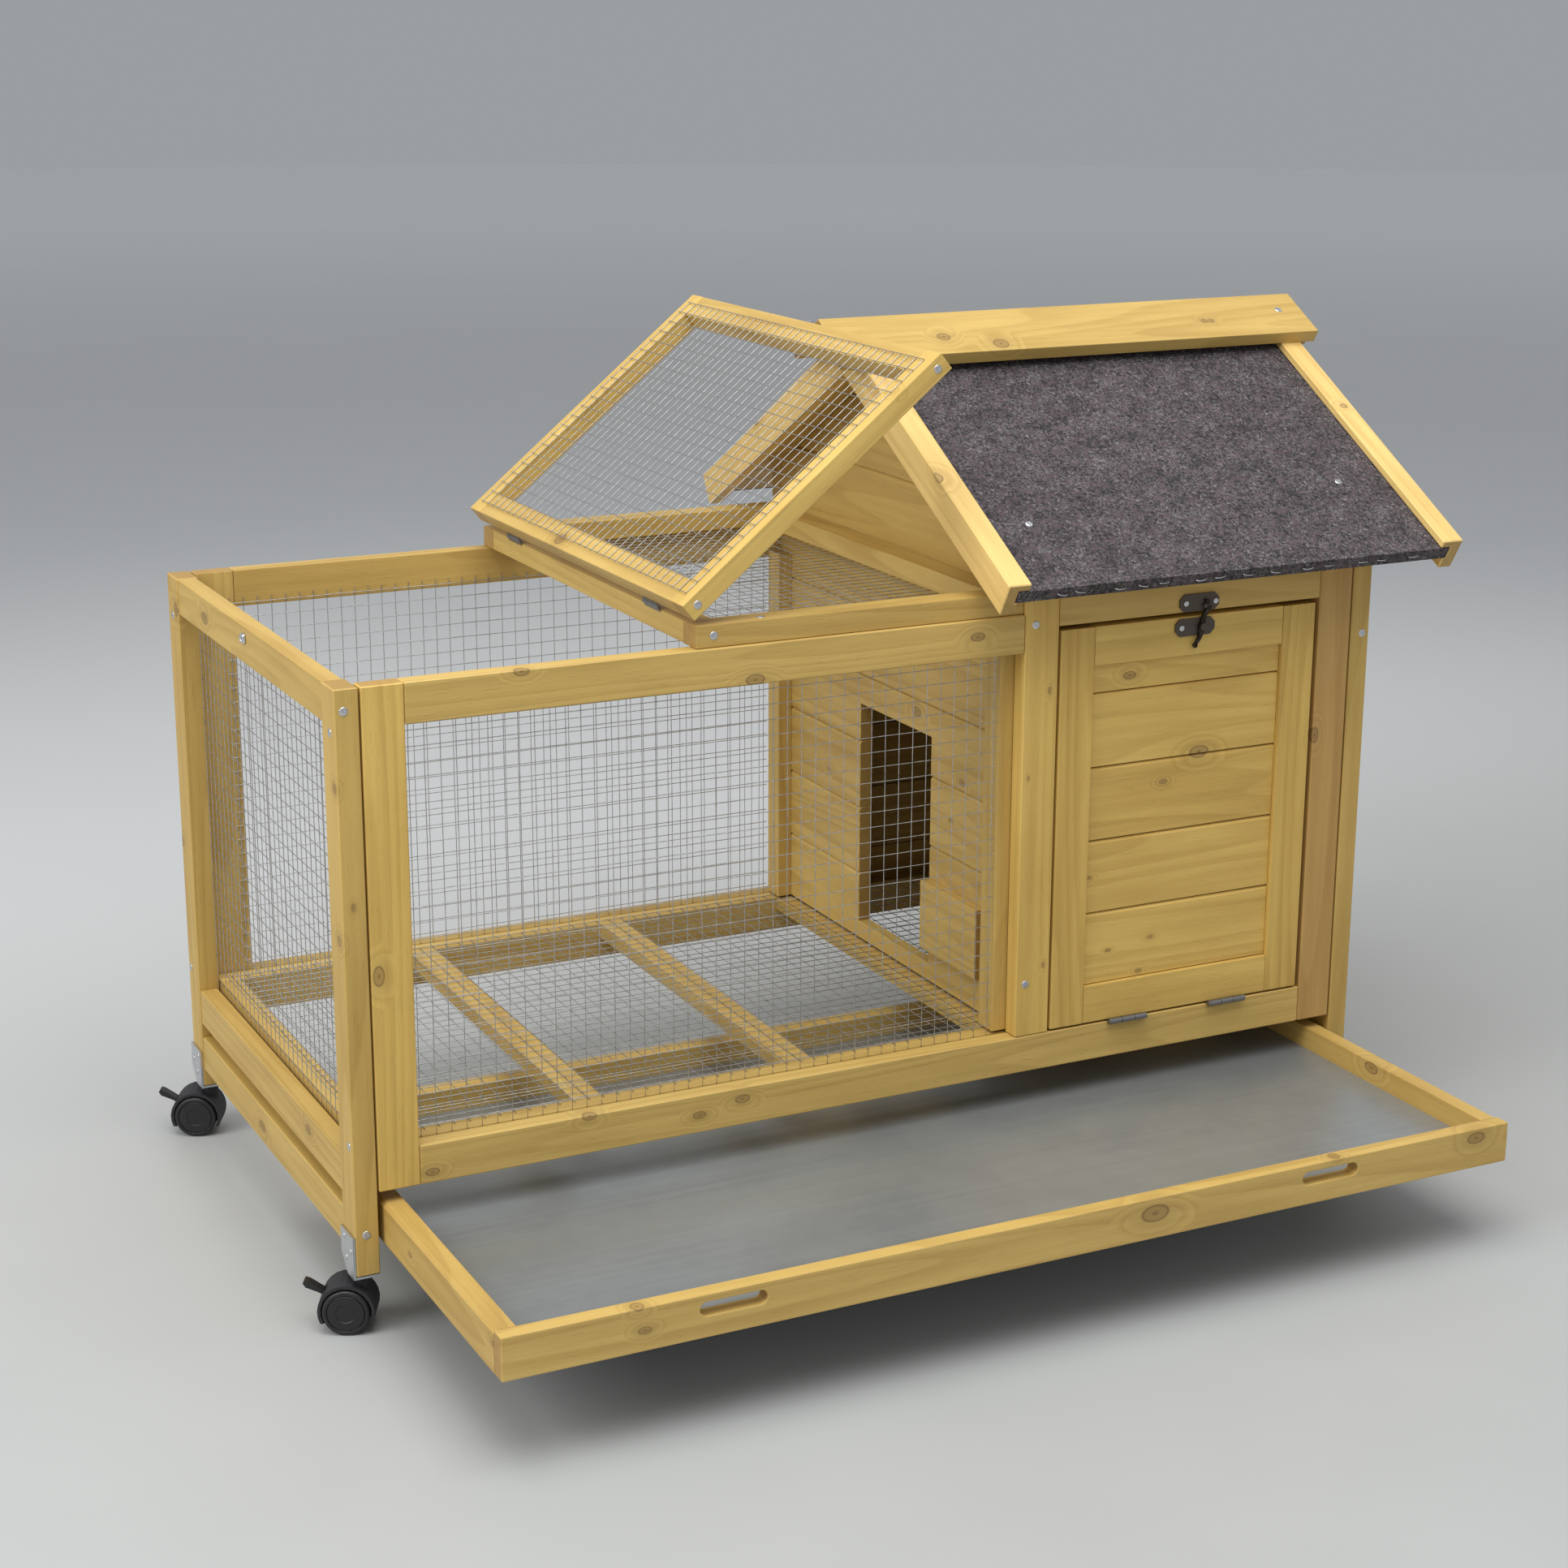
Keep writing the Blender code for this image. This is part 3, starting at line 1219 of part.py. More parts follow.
def make_brake_lever(nylon):
    """A toe lever: neck in the hood's slot and a tab that points away from the stem."""
    inside = -HOOD_THICKNESS / 2
    outline = [
        (inside, -BRAKE_NECK / 2),
        (HOOD_THICKNESS, -BRAKE_NECK / 2),
        (BRAKE_REACH - BRAKE_TAB, -BRAKE_TAB / 2),
        (BRAKE_REACH, -BRAKE_TAB / 4),
        (BRAKE_REACH, BRAKE_TAB / 2),
        (BRAKE_REACH - BRAKE_TAB, BRAKE_TAB),
        (HOOD_THICKNESS * 2, BRAKE_TAB / 2),
        (HOOD_THICKNESS, BRAKE_NECK / 2),
        (inside, BRAKE_NECK / 2),
    ]
    lever = prism("brake_lever", outline, "Y", -BRAKE_WIDTH / 2, BRAKE_WIDTH / 2, nylon)
    settle_origin(lever)
    lever.data.transform(Matrix.Rotation(-math.radians(BRAKE_ANGLE_DEG), 4, "Y"))
    return lever


def make_casters(steel, nylon, root):
    """Four swivel casters; the two at the run's end have brakes."""
    sources = {
        "bracket": make_bracket(steel),
        "body": make_caster_body(nylon),
        "wheels": make_wheel_pair(nylon),
        "brake": make_brake_lever(nylon),
    }
    yaw = math.radians(CASTER_YAW_DEG)
    corners = (
        ("front_left", LEG_WIDTH / 2, LEG_DEPTH / 2, 0),
        ("back_left", LEG_WIDTH / 2, BODY_DEPTH - LEG_DEPTH / 2, 0),
        ("front_right", X_END - LEG_WIDTH / 2, LEG_DEPTH / 2, math.pi),
        ("back_right", X_END - LEG_WIDTH / 2, BODY_DEPTH - LEG_DEPTH / 2, math.pi),
    )
    for name, x, y, turn in corners:
        place = Vector((x, y, 0))
        bracket = share_mesh(f"caster_bracket_{name}", sources["bracket"], place, turn)
        bracket.parent = root
        swivel = make_empty(f"swivel_{name}", place, root)
        swivel.rotation_euler = (0, 0, yaw)
        body = share_mesh(f"caster_body_{name}", sources["body"], Vector())
        body.parent = swivel
        axle = make_empty(f"axle_{name}", Vector((-CASTER_TRAIL, 0, axle_height())), swivel)
        wheels = share_mesh(f"caster_wheels_{name}", sources["wheels"], Vector())
        wheels.parent = axle
        if name.endswith("left"):
            hinge = make_empty(f"brake_pivot_{name}", brake_place(), swivel)
            lever = share_mesh(f"brake_lever_{name}", sources["brake"], Vector())
            lever.parent = hinge
    for source in sources.values():
        bpy.data.objects.remove(source, do_unlink=True)


def world_box():
    """Corners of the box round every mesh."""
    bpy.context.view_layer.update()
    points = []
    for obj in bpy.context.scene.objects:
        if obj.type == "MESH":
            points += [obj.matrix_world @ vertex.co for vertex in obj.data.vertices]
    low = Vector([min(point[i] for point in points) for i in range(3)])
    high = Vector([max(point[i] for point in points) for i in range(3)])
    return low, high


def main():
    """Build every piece, open the lid, draw the tray and settle the origin."""
    clear_scene()
    wood = make_material("honey fir", (0.62, 0.40, 0.14), 0.5)
    wire = make_material("galvanised wire", (0.55, 0.56, 0.56), 0.35, 0.9)
    steel = make_material("zinc plate", (0.62, 0.63, 0.64), 0.3, 0.9)
    sheet = make_material("tray sheet", (0.42, 0.44, 0.46), 0.35, 0.8)
    felt = make_material("mineral felt", (0.10, 0.09, 0.10), 0.95)
    bronze = make_material("dark bronze", (0.07, 0.055, 0.045), 0.35, 0.8)
    nylon = make_material("black nylon", (0.015, 0.015, 0.016), 0.45)

    root = make_empty("coop", Vector(), None)
    lid_pivot = make_empty("lid_pivot", lid_pivot_place(), root)
    door_pivot = make_empty("door_pivot", door_pivot_place(), root)
    hook_pivot = make_empty("hook_pivot", Vector(), door_pivot)
    tray_slide = make_empty("tray_slide", Vector((0, 0, Z_TRAY)), root)

    make_legs(wood, root)
    make_end_rails(wood, root)
    make_front_panel(wood, root)
    make_back_panel(wood, root)
    make_floor_frame(wood, root)
    make_left_wall(wood, root)
    make_right_wall(wood, root)
    make_run_nets(wire, root)
    make_roof_boards(wood, felt, root)
    make_verge_trim("left_verge_trim", X_ROOF_LEFT, 1, wood, root)
    make_verge_trim("right_verge_trim", X_ROOF_RIGHT, -1, wood, root)
    make_ridge_cap(wood, root)
    make_top_frame(wood, wire, root)
    make_lid(wood, wire, lid_pivot)
    make_lid_hinges(steel, root, lid_pivot)
    make_lid_catch(steel, root, lid_pivot)
    make_door(wood, door_pivot)
    make_door_hinges(steel, root)
    make_fastener(bronze, root, door_pivot, hook_pivot)
    make_tray(wood, sheet, tray_slide)
    make_casters(steel, nylon, root)

    lid_pivot.rotation_euler = (0, lid_open_angle(), 0)
    tray_slide.location.y = -TRAY_OUT
    low, high = world_box()
    root.location = (-(low.x + high.x) / 2, -(low.y + high.y) / 2, -low.z)
    bpy.context.view_layer.update()


main()
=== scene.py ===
# %% [markdown]
# A small wheeled pet coop, dressed around its packed model. The model brings every board,
# hinge and wheel as a plain solid in its true place. This notebook gives each one the
# surface of the real thing: stained fir, welded wire, roofing felt, zinc and black nylon.

# %% Load the model
import json
import math
import random

import bmesh
import bpy
from mathutils import Matrix, Vector


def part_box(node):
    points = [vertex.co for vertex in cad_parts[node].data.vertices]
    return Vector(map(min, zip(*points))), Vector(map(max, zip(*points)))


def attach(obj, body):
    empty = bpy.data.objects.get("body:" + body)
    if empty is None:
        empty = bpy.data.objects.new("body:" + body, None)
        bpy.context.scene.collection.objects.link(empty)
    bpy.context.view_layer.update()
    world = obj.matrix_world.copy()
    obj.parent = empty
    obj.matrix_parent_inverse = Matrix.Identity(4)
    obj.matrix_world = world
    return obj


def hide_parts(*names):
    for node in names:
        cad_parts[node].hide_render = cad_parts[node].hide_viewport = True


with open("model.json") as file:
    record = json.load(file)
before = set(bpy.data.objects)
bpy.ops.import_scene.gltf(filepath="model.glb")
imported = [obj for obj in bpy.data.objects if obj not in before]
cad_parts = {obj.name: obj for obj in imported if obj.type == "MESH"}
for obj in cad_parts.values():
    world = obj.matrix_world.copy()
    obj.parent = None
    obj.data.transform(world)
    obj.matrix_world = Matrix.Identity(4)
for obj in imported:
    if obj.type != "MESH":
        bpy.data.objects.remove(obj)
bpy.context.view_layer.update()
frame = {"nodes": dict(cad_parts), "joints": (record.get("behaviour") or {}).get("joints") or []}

MM = 0.001
NODES = frame["nodes"]
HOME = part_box("leg_front_left")[0]
print("nodes", len(NODES), "home corner", [round(v, 4) for v in HOME])


def at(x, y, z):
    """A point given in millimetres from the left front leg's outer foot corner."""
    return HOME + Vector((x, y, z)) * MM


def local(point):
    """The same, the other way: a point of the model in millimetres from that corner."""
    return (point - HOME) / MM


def joint_of(name):
    """The frame's entry of one joint."""
    return next(joint for joint in frame["joints"] if joint["name"] == name)


# %% [markdown]
# Camera. The photograph was taken from the left front, a little above the roof. Fitting the
# straight edges of the timber gave the eye, the lens and a slight roll. The camera is made
# first, because every later look is judged through it.

# %% Camera
CAMERA_EYE = (-601.6, -1954.5, 970.6)
CAMERA_AZIMUTH = math.radians(-26.368)
CAMERA_ELEVATION = math.radians(15.829)
CAMERA_ROLL = math.radians(0.184)
CAMERA_SENSOR = 36.0
PHOTO_PIXELS = 1932
FOCAL_PIXELS = 3513.7
CAMERA_LENS = FOCAL_PIXELS / PHOTO_PIXELS * CAMERA_SENSOR
NEAREST = 0.05


def make_camera():
    """Point the camera along the fitted directions."""
    data = bpy.data.cameras.new("photo_camera")
    data.lens = CAMERA_LENS
    data.sensor_width = CAMERA_SENSOR
    data.clip_start = NEAREST
    camera = bpy.data.objects.new("photo_camera", data)
    bpy.context.scene.collection.objects.link(camera)
    az, el, roll = CAMERA_AZIMUTH, CAMERA_ELEVATION, CAMERA_ROLL
    right = Vector((math.cos(az), math.sin(az), 0))
    ahead = Vector((-math.sin(az) * math.cos(el), math.cos(az) * math.cos(el), -math.sin(el)))
    up = right.cross(ahead)
    side = right * math.cos(roll) + up * math.sin(roll)
    top = up * math.cos(roll) - right * math.sin(roll)
    turn = Matrix((side, top, -ahead)).transposed().to_4x4()
    camera.matrix_world = Matrix.Translation(at(*CAMERA_EYE)) @ turn
    bpy.context.scene.camera = camera


make_camera()
print("camera lens", round(CAMERA_LENS, 2), "mm")

# %% [markdown]
# Shader maths. A material is a sum of patterns, and sums are easier to read as sums. Signal
# wraps one socket, so that `1 - mask * 0.5` adds the Math nodes by itself. Finish owns one
# material and makes every other node with one method.

# %% Signals and finishes
class Signal:
    """One output socket of a material."""

    def __init__(self, finish, socket):
        self.finish = finish
        self.socket = socket

    def math(self, operation, first, second=0.0, clamp=False):
        """A Math node on one or two values."""
        settings = {"operation": operation, "use_clamp": clamp}
        return self.finish.node("ShaderNodeMath", settings, {0: first, 1: second})

    def __add__(self, other):
        return self.math("ADD", self, other)

    __radd__ = __add__

    def __sub__(self, other):
        return self.math("SUBTRACT", self, other)

    def __rsub__(self, other):
        return self.math("SUBTRACT", other, self)

    def __mul__(self, other):
        return self.math("MULTIPLY", self, other)

    __rmul__ = __mul__

    def fract(self):
        """The part after the decimal point."""
        return self.math("FRACT", self)

    def clamp(self):
        """Keep the value between nought and one."""
        return self.math("ADD", self, 0.0, clamp=True)

    def at_least(self, other):
        """The larger of two values."""
        return self.math("MAXIMUM", self, other)

    def ramp(self, low, high, first=0.0, second=1.0):
        """A smooth step from first to second while the value goes from low to high."""
        settings = {"interpolation_type": "SMOOTHSTEP"}
        values = {0: self, 1: low, 2: high, 3: first, 4: second}
        return self.finish.node("ShaderNodeMapRange", settings, values)


class Finish:
    """One material and the nodes that make it."""

    def __init__(self, name, colour=(0.5, 0.5, 0.5), roughness=0.5, metallic=0.0):
        self.material = bpy.data.materials.new(name)
        self.material.use_nodes = True
        self.tree = self.material.node_tree
        self.shader = self.tree.nodes["Principled BSDF"]
        self.shader.inputs["Base Color"].default_value = (*colour, 1)
        self.shader.inputs["Roughness"].default_value = roughness
        self.shader.inputs["Metallic"].default_value = metallic

    def node(self, kind, settings=None, values=None, output=0):
        """Add a node, its settings first, then the values or links of its sockets."""
        node = self.tree.nodes.new(kind)
        for key, value in (settings or {}).items():
            if key == "stops":
                self.set_stops(node.color_ramp, value)
            else:
                setattr(node, key, value)
        for key, value in (values or {}).items():
            self.feed(node.inputs[key], value)
        return Signal(self, node.outputs[output])

    def set_stops(self, ramp, stops):
        """Give a colour ramp its stops."""
        while len(ramp.elements) < len(stops):
            ramp.elements.new(1.0)
        for element, (place, colour) in zip(ramp.elements, stops):
            element.position = place
            element.color = (*colour, 1)

    def feed(self, socket, value):
        """Link a signal to a socket, or set the socket's own value."""
        if isinstance(value, Signal):
            self.tree.links.new(value.socket, socket)
        else:
            socket.default_value = value

    def place(self):
        """Object coordinates."""
        return self.node("ShaderNodeTexCoord", output=3)

    def attribute(self, name):
        """A number that the piece carries on its faces."""
        return self.node("ShaderNodeAttribute", {"attribute_name": name}, output=2)

    def dot(self, vector, direction):
        """How far a place lies along a direction."""
        settings = {"operation": "DOT_PRODUCT"}
        return self.node("ShaderNodeVectorMath", settings, {0: vector, 1: direction}, output=1)

    def combine(self, x, y, z):
        """A place from three numbers."""
        return self.node("ShaderNodeCombineXYZ", None, {0: x, 1: y, 2: z})

    def noise(self, vector, scale, detail=2.0, roughness=0.5, distortion=0.0):
        """Cloudy noise between nought and one."""
        values = {"Vector": vector, "Scale": scale, "Detail": detail, "Roughness": roughness,
                  "Distortion": distortion}
        return self.node("ShaderNodeTexNoise", None, values)

    def blend(self, factor, first, second):
        """Mix two colours."""
        values = {0: factor, 6: first, 7: second}
        return self.node("ShaderNodeMix", {"data_type": "RGBA"}, values, output=2)

    def bump(self, height, strength, distance):
        """Raise the surface by a height signal."""
        values = {"Height": height, "Strength": strength, "Distance": distance}
        return self.node("ShaderNodeBump", None, values)

    def set(self, **sockets):
        """Feed the shader; an underscore stands for a space."""
        for name, value in sockets.items():
            self.feed(self.shader.inputs[name.replace("_", " ")], value)
        return self.material


print("a signal has", ", ".join(name for name in vars(Signal) if not name.startswith("_")))

# %% [markdown]
# Stained fir. The boards are plain fir with a honey stain. Growth rings show as long narrow
# arches on the faces, with fine fibres between them, and small knots bend the rings around
# them. Contour lines of a noise field that is stretched along the board draw the arches, and
# each knot lifts that field where it stands, so the lines flow round it as they do in wood.
# End grain is darker, because it drinks more stain.

# %% Stained fir
FIR_LIGHT = (0.640, 0.440, 0.128)
FIR_DEEP = (0.385, 0.228, 0.048)
FIR_KNOT = (0.130, 0.060, 0.020, 1)
FIR_END = (0.330, 0.186, 0.048, 1)
RING_DENSITY = 13.0
KNOT_LENGTHWISE = 0.55
KNOT_DEPTHWISE = 0.5
GRAIN_DEPTH = 0.35 * MM
X_AXIS = Vector((1, 0, 0))
Y_AXIS = Vector((0, 1, 0))
Z_AXIS = Vector((0, 0, 1))
RIDGE_Y = (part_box("roof_felt")[0].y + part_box("roof_felt")[1].y) / 2


def add_knot(fir, place, along, across, side, knot):
    """The dark spot of one knot, and how much it lifts the growth rings round it."""
    x, y, z, radius = knot
    gap = fir.node("ShaderNodeVectorMath", {"operation": "SUBTRACT"}, {0: place, 1: at(x, y, z)})
    lengthwise = fir.dot(gap, along * (KNOT_LENGTHWISE / (radius * MM)))
    crosswise = fir.dot(gap, across * (1.0 / (radius * MM)))
    depthwise = fir.dot(gap, side * (KNOT_DEPTHWISE / (radius * MM)))
    far = lengthwise * lengthwise + crosswise * crosswise + depthwise * depthwise
    rim = far.ramp(0.6, 1.0) * far.ramp(1.0, 1.5, 1.0, 0.0)
    heart = far.ramp(0.0, 0.12, 0.30, 0.0)
    spot = far.ramp(0.5, 1.3, 0.34, 0.0) + rim * 0.50 + heart + far.ramp(1.0, 9.0, 0.10, 0.0)
    return spot, far.ramp(0.0, 14.0, 0.13, 0.0)


def fold(fir, place, facing):
    """Mirror the back slope onto the front one, so one grain direction serves both."""
    x, y, z = (fir.dot(place, axis) for axis in (X_AXIS, Y_AXIS, Z_AXIS))
    offset = y - RIDGE_Y
    mirror = offset.math("SIGN", offset) * -1.0
    place = fir.combine(x, offset * mirror + RIDGE_Y, z)
    x, y, z = (fir.dot(facing, axis) for axis in (X_AXIS, Y_AXIS, Z_AXIS))
    return place, fir.combine(x, y * mirror, z)


def stained_fir(name, along, knots=(), folded=False, shift=0.0, tint=(1.0, 1.0, 1.0)):
    """Fir with its grain along a direction; knots are (x, y, z, radius) in millimetres."""
    fir = Finish(name)
    pale, rich = ((*(c * t for c, t in zip(stain, tint)), 1) for stain in (FIR_LIGHT, FIR_DEEP))
    place = fir.place()
    facing = fir.node("ShaderNodeNewGeometry", output=1)
    if folded:
        place, facing = fold(fir, place, facing)
    helper = Y_AXIS if abs(along.y) < 0.6 else X_AXIS
    across = along.cross(helper).normalized()
    side = across.cross(along).normalized()
    board = fir.attribute("shift")
    run = fir.dot(place, along) + board * 3.7 + shift
    wide = fir.dot(place, across) + board * 2.3 + shift * 0.7
    deep = fir.dot(place, side) + board * 1.9
    bend = fir.noise(fir.combine(run * 1.7, wide * 7.0, deep * 7.0), 1.0, 1.0, 0.4)
    field = fir.noise(fir.combine(run * 0.8, wide * 15.0, deep * 15.0), 1.0, 1.0, 0.35) + bend * 0.3
    mark = None
    for knot in knots:
        spot, lift = add_knot(fir, place, along, across, side, knot)
        field = field + lift
        mark = spot if mark is None else mark.at_least(spot)
    ring = (field * RING_DENSITY).fract()
    late = ring.ramp(0.2, 0.92) * ring.ramp(0.92, 1.0, 1.0, 0.0)
    fibre = fir.noise(fir.combine(run * 22.0, wide * 760.0, deep * 760.0), 1.0, 2.0, 0.65)
    streak = fir.noise(fir.combine(run * 3.5, wide * 130.0, deep * 130.0), 1.0, 2.0, 0.55)
    mottle = fir.noise(fir.combine(run * 7.0, wide * 22.0, deep * 22.0), 1.0, 3.0, 0.5)
    pore = fir.noise(fir.combine(run * 90.0, wide * 620.0, deep * 620.0), 1.0, 1.0, 0.5)
    pore = pore.ramp(0.64, 0.74)
    tone = board.fract() * 0.26 - 0.13
    depth = late * 0.24 + (fibre - 0.5) * 0.34 + (streak - 0.5) * 0.55 + (mottle - 0.5) * 0.75
    colour = fir.blend((depth + pore * 0.10 + tone + 0.32).clamp(), pale, rich)
    if mark is not None:
        colour = fir.blend(mark.clamp(), colour, FIR_KNOT)
    end = fir.dot(facing, along)
    end = (end * end).ramp(0.55, 0.9)
    colour = fir.blend(end * 0.7, colour, FIR_END)
    rough = 0.50 + fibre * 0.14 + late * 0.05
    height = fibre * 0.7 + late * 0.35 + pore * -0.8
    fir.set(Base_Color=colour, Roughness=rough, Normal=fir.bump(height, 0.4, GRAIN_DEPTH))
    fir.shader.inputs["Coat Weight"].default_value = 0.08
    fir.shader.inputs["Coat Roughness"].default_value = 0.4
    return fir.material


# %% [markdown]
# Knots. Each board of the photograph has its own few knots, and they do much to make one
# object of it. Their places were read off the photograph's faces, in millimetres from the
# left front leg's foot, and each is a place and a radius. Boards with no knot in view share
# the plain fir. A shift moves the grain along, so that no two finishes show the same lines,
# and a tint makes a board paler or darker than its neighbours, as the stain left it. The
# verge trims' strong pale tint is painted light: it stands for the light on their upward faces.

# %% Fir for each run of boards
PITCH = math.radians(30)
UP_SLOPE = Vector((0, math.cos(PITCH), math.sin(PITCH)))
RAIL_KNOTS = ((147, 0, 467, 3.2), (342, 0, 440, 4.2), (542.5, 0, 454.5, 3.4), (64, 0, 76.5, 3.0),
              (196, 0, 99, 3.2), (292, 0, 82.7, 3.0), (330.5, 0, 90, 3.4))
DARK_KNOTS = ((885, 0, 333, 3.6),)
STILE_KNOTS = ((26.7, 0, 243, 4.2), (612, 0, 402.3, 1.6), (613.5, 0, 162, 1.5),
               (594, 0, 329, 1.3), *DARK_KNOTS)
LEG_KNOTS = ((0, 10.1, 272, 2.2), (0, 6, 392, 2.0), (0, 469, 225, 2.6), (0, 447, 440, 3.0),
             (9, 0, 300, 1.5))
END_KNOTS = ((1, 356, 450.4, 4.6), (1, 118, 79, 3.6), (1, 254.6, 30.4, 4.2))
DOOR_KNOTS = ((693, 4, 406, 3.2), (766.4, 4, 331, 5.0), (731, 4, 308.6, 2.2),
              (724, 4, 169.7, 1.5), (681, 4, 163.6, 1.5), (658, 4, 232, 1.8), (713, 4, 140, 1.8))
TRAY_KNOTS = ((128.6, -248, 57.9, 2.6), (566, -252.2, 45, 6.5), (880.4, -252.2, 50, 4.6),
              (133, -252.2, 40, 2.8), (740, -246, 57.9, 2.4))
TRAY_SIDE_KNOTS = ((896, -91.5, 52, 4.6), (24, -238, 47, 2.2), (24, -60, 40, 2.2))
CAP_KNOTS = ((621.8, 205, 670.4, 3.2), (672.6, 193, 663.5, 3.8), (893, 206, 671, 1.8),
             (900, 205, 671, 1.8))
VERGE_KNOTS = ((522, 87.2, 588.2, 1.8), (536, 65.2, 575.5, 3.6), (517.5, -27.5, 522, 1.8),
               (980, 110, 600, 2.0))
WALL_KNOTS = ((588, 182, 345, 4.0), (588, 100, 300, 2.6), (588, 118, 262, 1.8),
              (588, 350, 250, 2.0))
FLOOR_KNOTS = ((330, 455, 92, 3.0), (205, 270, 100, 2.5), (393, 180, 100, 2.8))
FIR_X = stained_fir("fir along x", X_AXIS, FLOOR_KNOTS)
FIR_Y = stained_fir("fir along y", Y_AXIS)
FIR_Z = stained_fir("fir along z", Z_AXIS)
FIR_RAIL = stained_fir("fir of the front rails", X_AXIS, RAIL_KNOTS, shift=0.4)
FIR_STILE = stained_fir("fir of the front stiles", Z_AXIS, STILE_KNOTS, shift=0.9,
                        tint=(1.15, 1.13, 1.0))
FIR_DARK = stained_fir("fir of the right stile", Z_AXIS, DARK_KNOTS, shift=1.7,
                       tint=(0.86, 0.76, 0.80))
FIR_LEG = stained_fir("fir of the legs", Z_AXIS, LEG_KNOTS, shift=0.2, tint=(0.93, 0.91, 0.84))
FIR_END_RAIL = stained_fir("fir of the end rails", Y_AXIS, END_KNOTS, shift=0.6,
                           tint=(0.92, 0.90, 0.84))
FIR_DOOR = stained_fir("fir of the door slats", X_AXIS, DOOR_KNOTS, shift=1.3,
                       tint=(1.19, 1.18, 1.08))
FIR_TRAY = stained_fir("fir of the tray front", X_AXIS, TRAY_KNOTS, shift=0.8)
FIR_TRAY_SIDE = stained_fir("fir of the tray sides", Y_AXIS, TRAY_SIDE_KNOTS, shift=1.1)
FIR_CAP = stained_fir("fir of the ridge cap", X_AXIS, CAP_KNOTS, shift=0.3)
# Painted light: the verge trims' tint makes them as pale as light falling on their upward faces
# would.
FIR_VERGE_PAINTED_LIGHT = stained_fir("fir of the verge trims with painted light", UP_SLOPE, VERGE_KNOTS, folded=True, shift=0.5,
                        tint=(1.38, 1.42, 1.75))
FIR_WALL = stained_fir("fir of the house walls", Y_AXIS, WALL_KNOTS, shift=0.7)
print("fir finishes", sum(material.name.startswith("fir") for material in bpy.data.materials))

# %% [markdown]
# The other finishes. Galvanised wire and zinc are pale grey metal with a soft spangle. The
# fastener is dark bronze with scattered worn patches, the casters are moulded nylon, the tray
# has a satin steel sheet, and the roof has felt with a mineral grit of grey, brown and violet.

# %% Metals, nylon and felt
FELT_CURL = 6.0 * MM
GRIT_DEPTH = 1.6 * MM


def spangled(name, colour, roughness, spot, contrast=0.25):
    """Galvanised or zinc plated steel."""
    metal = Finish(name, colour, roughness, 1.0)
    cloud = metal.noise(metal.place(), spot, 3.0, 0.6)
    shade = metal.node("ShaderNodeValToRGB", {"stops": (
        (0.3, tuple(c * (1 - contrast) for c in colour)),
        (0.7, tuple(min(1, c * (1 + contrast)) for c in colour)),
    )}, {0: cloud})
    metal.set(Base_Color=shade, Roughness=cloud * 0.25 + (roughness - 0.12))
    return metal.material


WIRE = spangled("galvanised wire", (0.50, 0.50, 0.49), 0.36, 240.0)
ZINC = spangled("zinc plate", (0.62, 0.63, 0.65), 0.32, 900.0, 0.10)
STEEL = spangled("hinge steel", (0.27, 0.27, 0.275), 0.40, 900.0, 0.10)
# Painted shade: this dark colour stands for the shadow deep in the cross of a screw head.
RECESS_SHADE = spangled("screw recess painted shade", (0.10, 0.10, 0.10), 0.60, 900.0, 0.10)


def make_bronze():
    """Dark bronze with a little bright metal in scattered patches."""
    bronze = Finish("dark bronze", metallic=0.85)
    cloud = bronze.noise(bronze.place(), 300.0, 3.0, 0.6)
    shade = bronze.node("ShaderNodeValToRGB", {"stops": (
        (0.35, (0.024, 0.020, 0.017)), (0.60, (0.065, 0.052, 0.040)), (0.74, (0.24, 0.20, 0.15)),
    )}, {0: cloud})
    bronze.set(Base_Color=shade, Roughness=cloud * 0.3 + 0.22)
    return bronze.material


def make_nylon():
    """Black moulded nylon with a fine dulled surface."""
    nylon = Finish("black nylon")
    grain = nylon.noise(nylon.place(), 1400.0, 2.0, 0.5)
    dust = nylon.noise(nylon.place(), 90.0, 3.0, 0.6).ramp(0.45, 0.75)
    shade = nylon.blend(dust * 0.25, (0.009, 0.009, 0.010, 1), (0.030, 0.029, 0.027, 1))
    nylon.set(Base_Color=shade, Roughness=grain * 0.12 + dust * 0.15 + 0.33,
              Normal=nylon.bump(grain, 0.12, 0.2 * MM))
    return nylon.material


def make_sheet():
    """Satin steel sheet with faint rolling streaks along its length."""
    sheet = Finish("satin steel sheet", metallic=0.45)
    place = sheet.place()
    rolled = sheet.combine(sheet.dot(place, X_AXIS) * 3.0, sheet.dot(place, Y_AXIS) * 160.0, 0.0)
    streak = sheet.noise(rolled, 1.0, 3.0)
    cloud = sheet.noise(place, 7.0, 3.0, 0.55)
    spot = sheet.noise(place, 60.0, 2.0, 0.5)
    tone = (cloud * 0.55 + streak * 0.3 + spot * 0.15).clamp()
    shade = sheet.node("ShaderNodeValToRGB", {"stops": (
        (0.30, (0.235, 0.255, 0.265)), (0.70, (0.33, 0.35, 0.355)),
    )}, {0: tone})
    sheet.set(Base_Color=shade, Roughness=cloud * 0.18 + streak * 0.08 + 0.20,
              Normal=sheet.bump(streak * 0.4 + cloud, 0.08, 1.5 * MM))
    return sheet.material


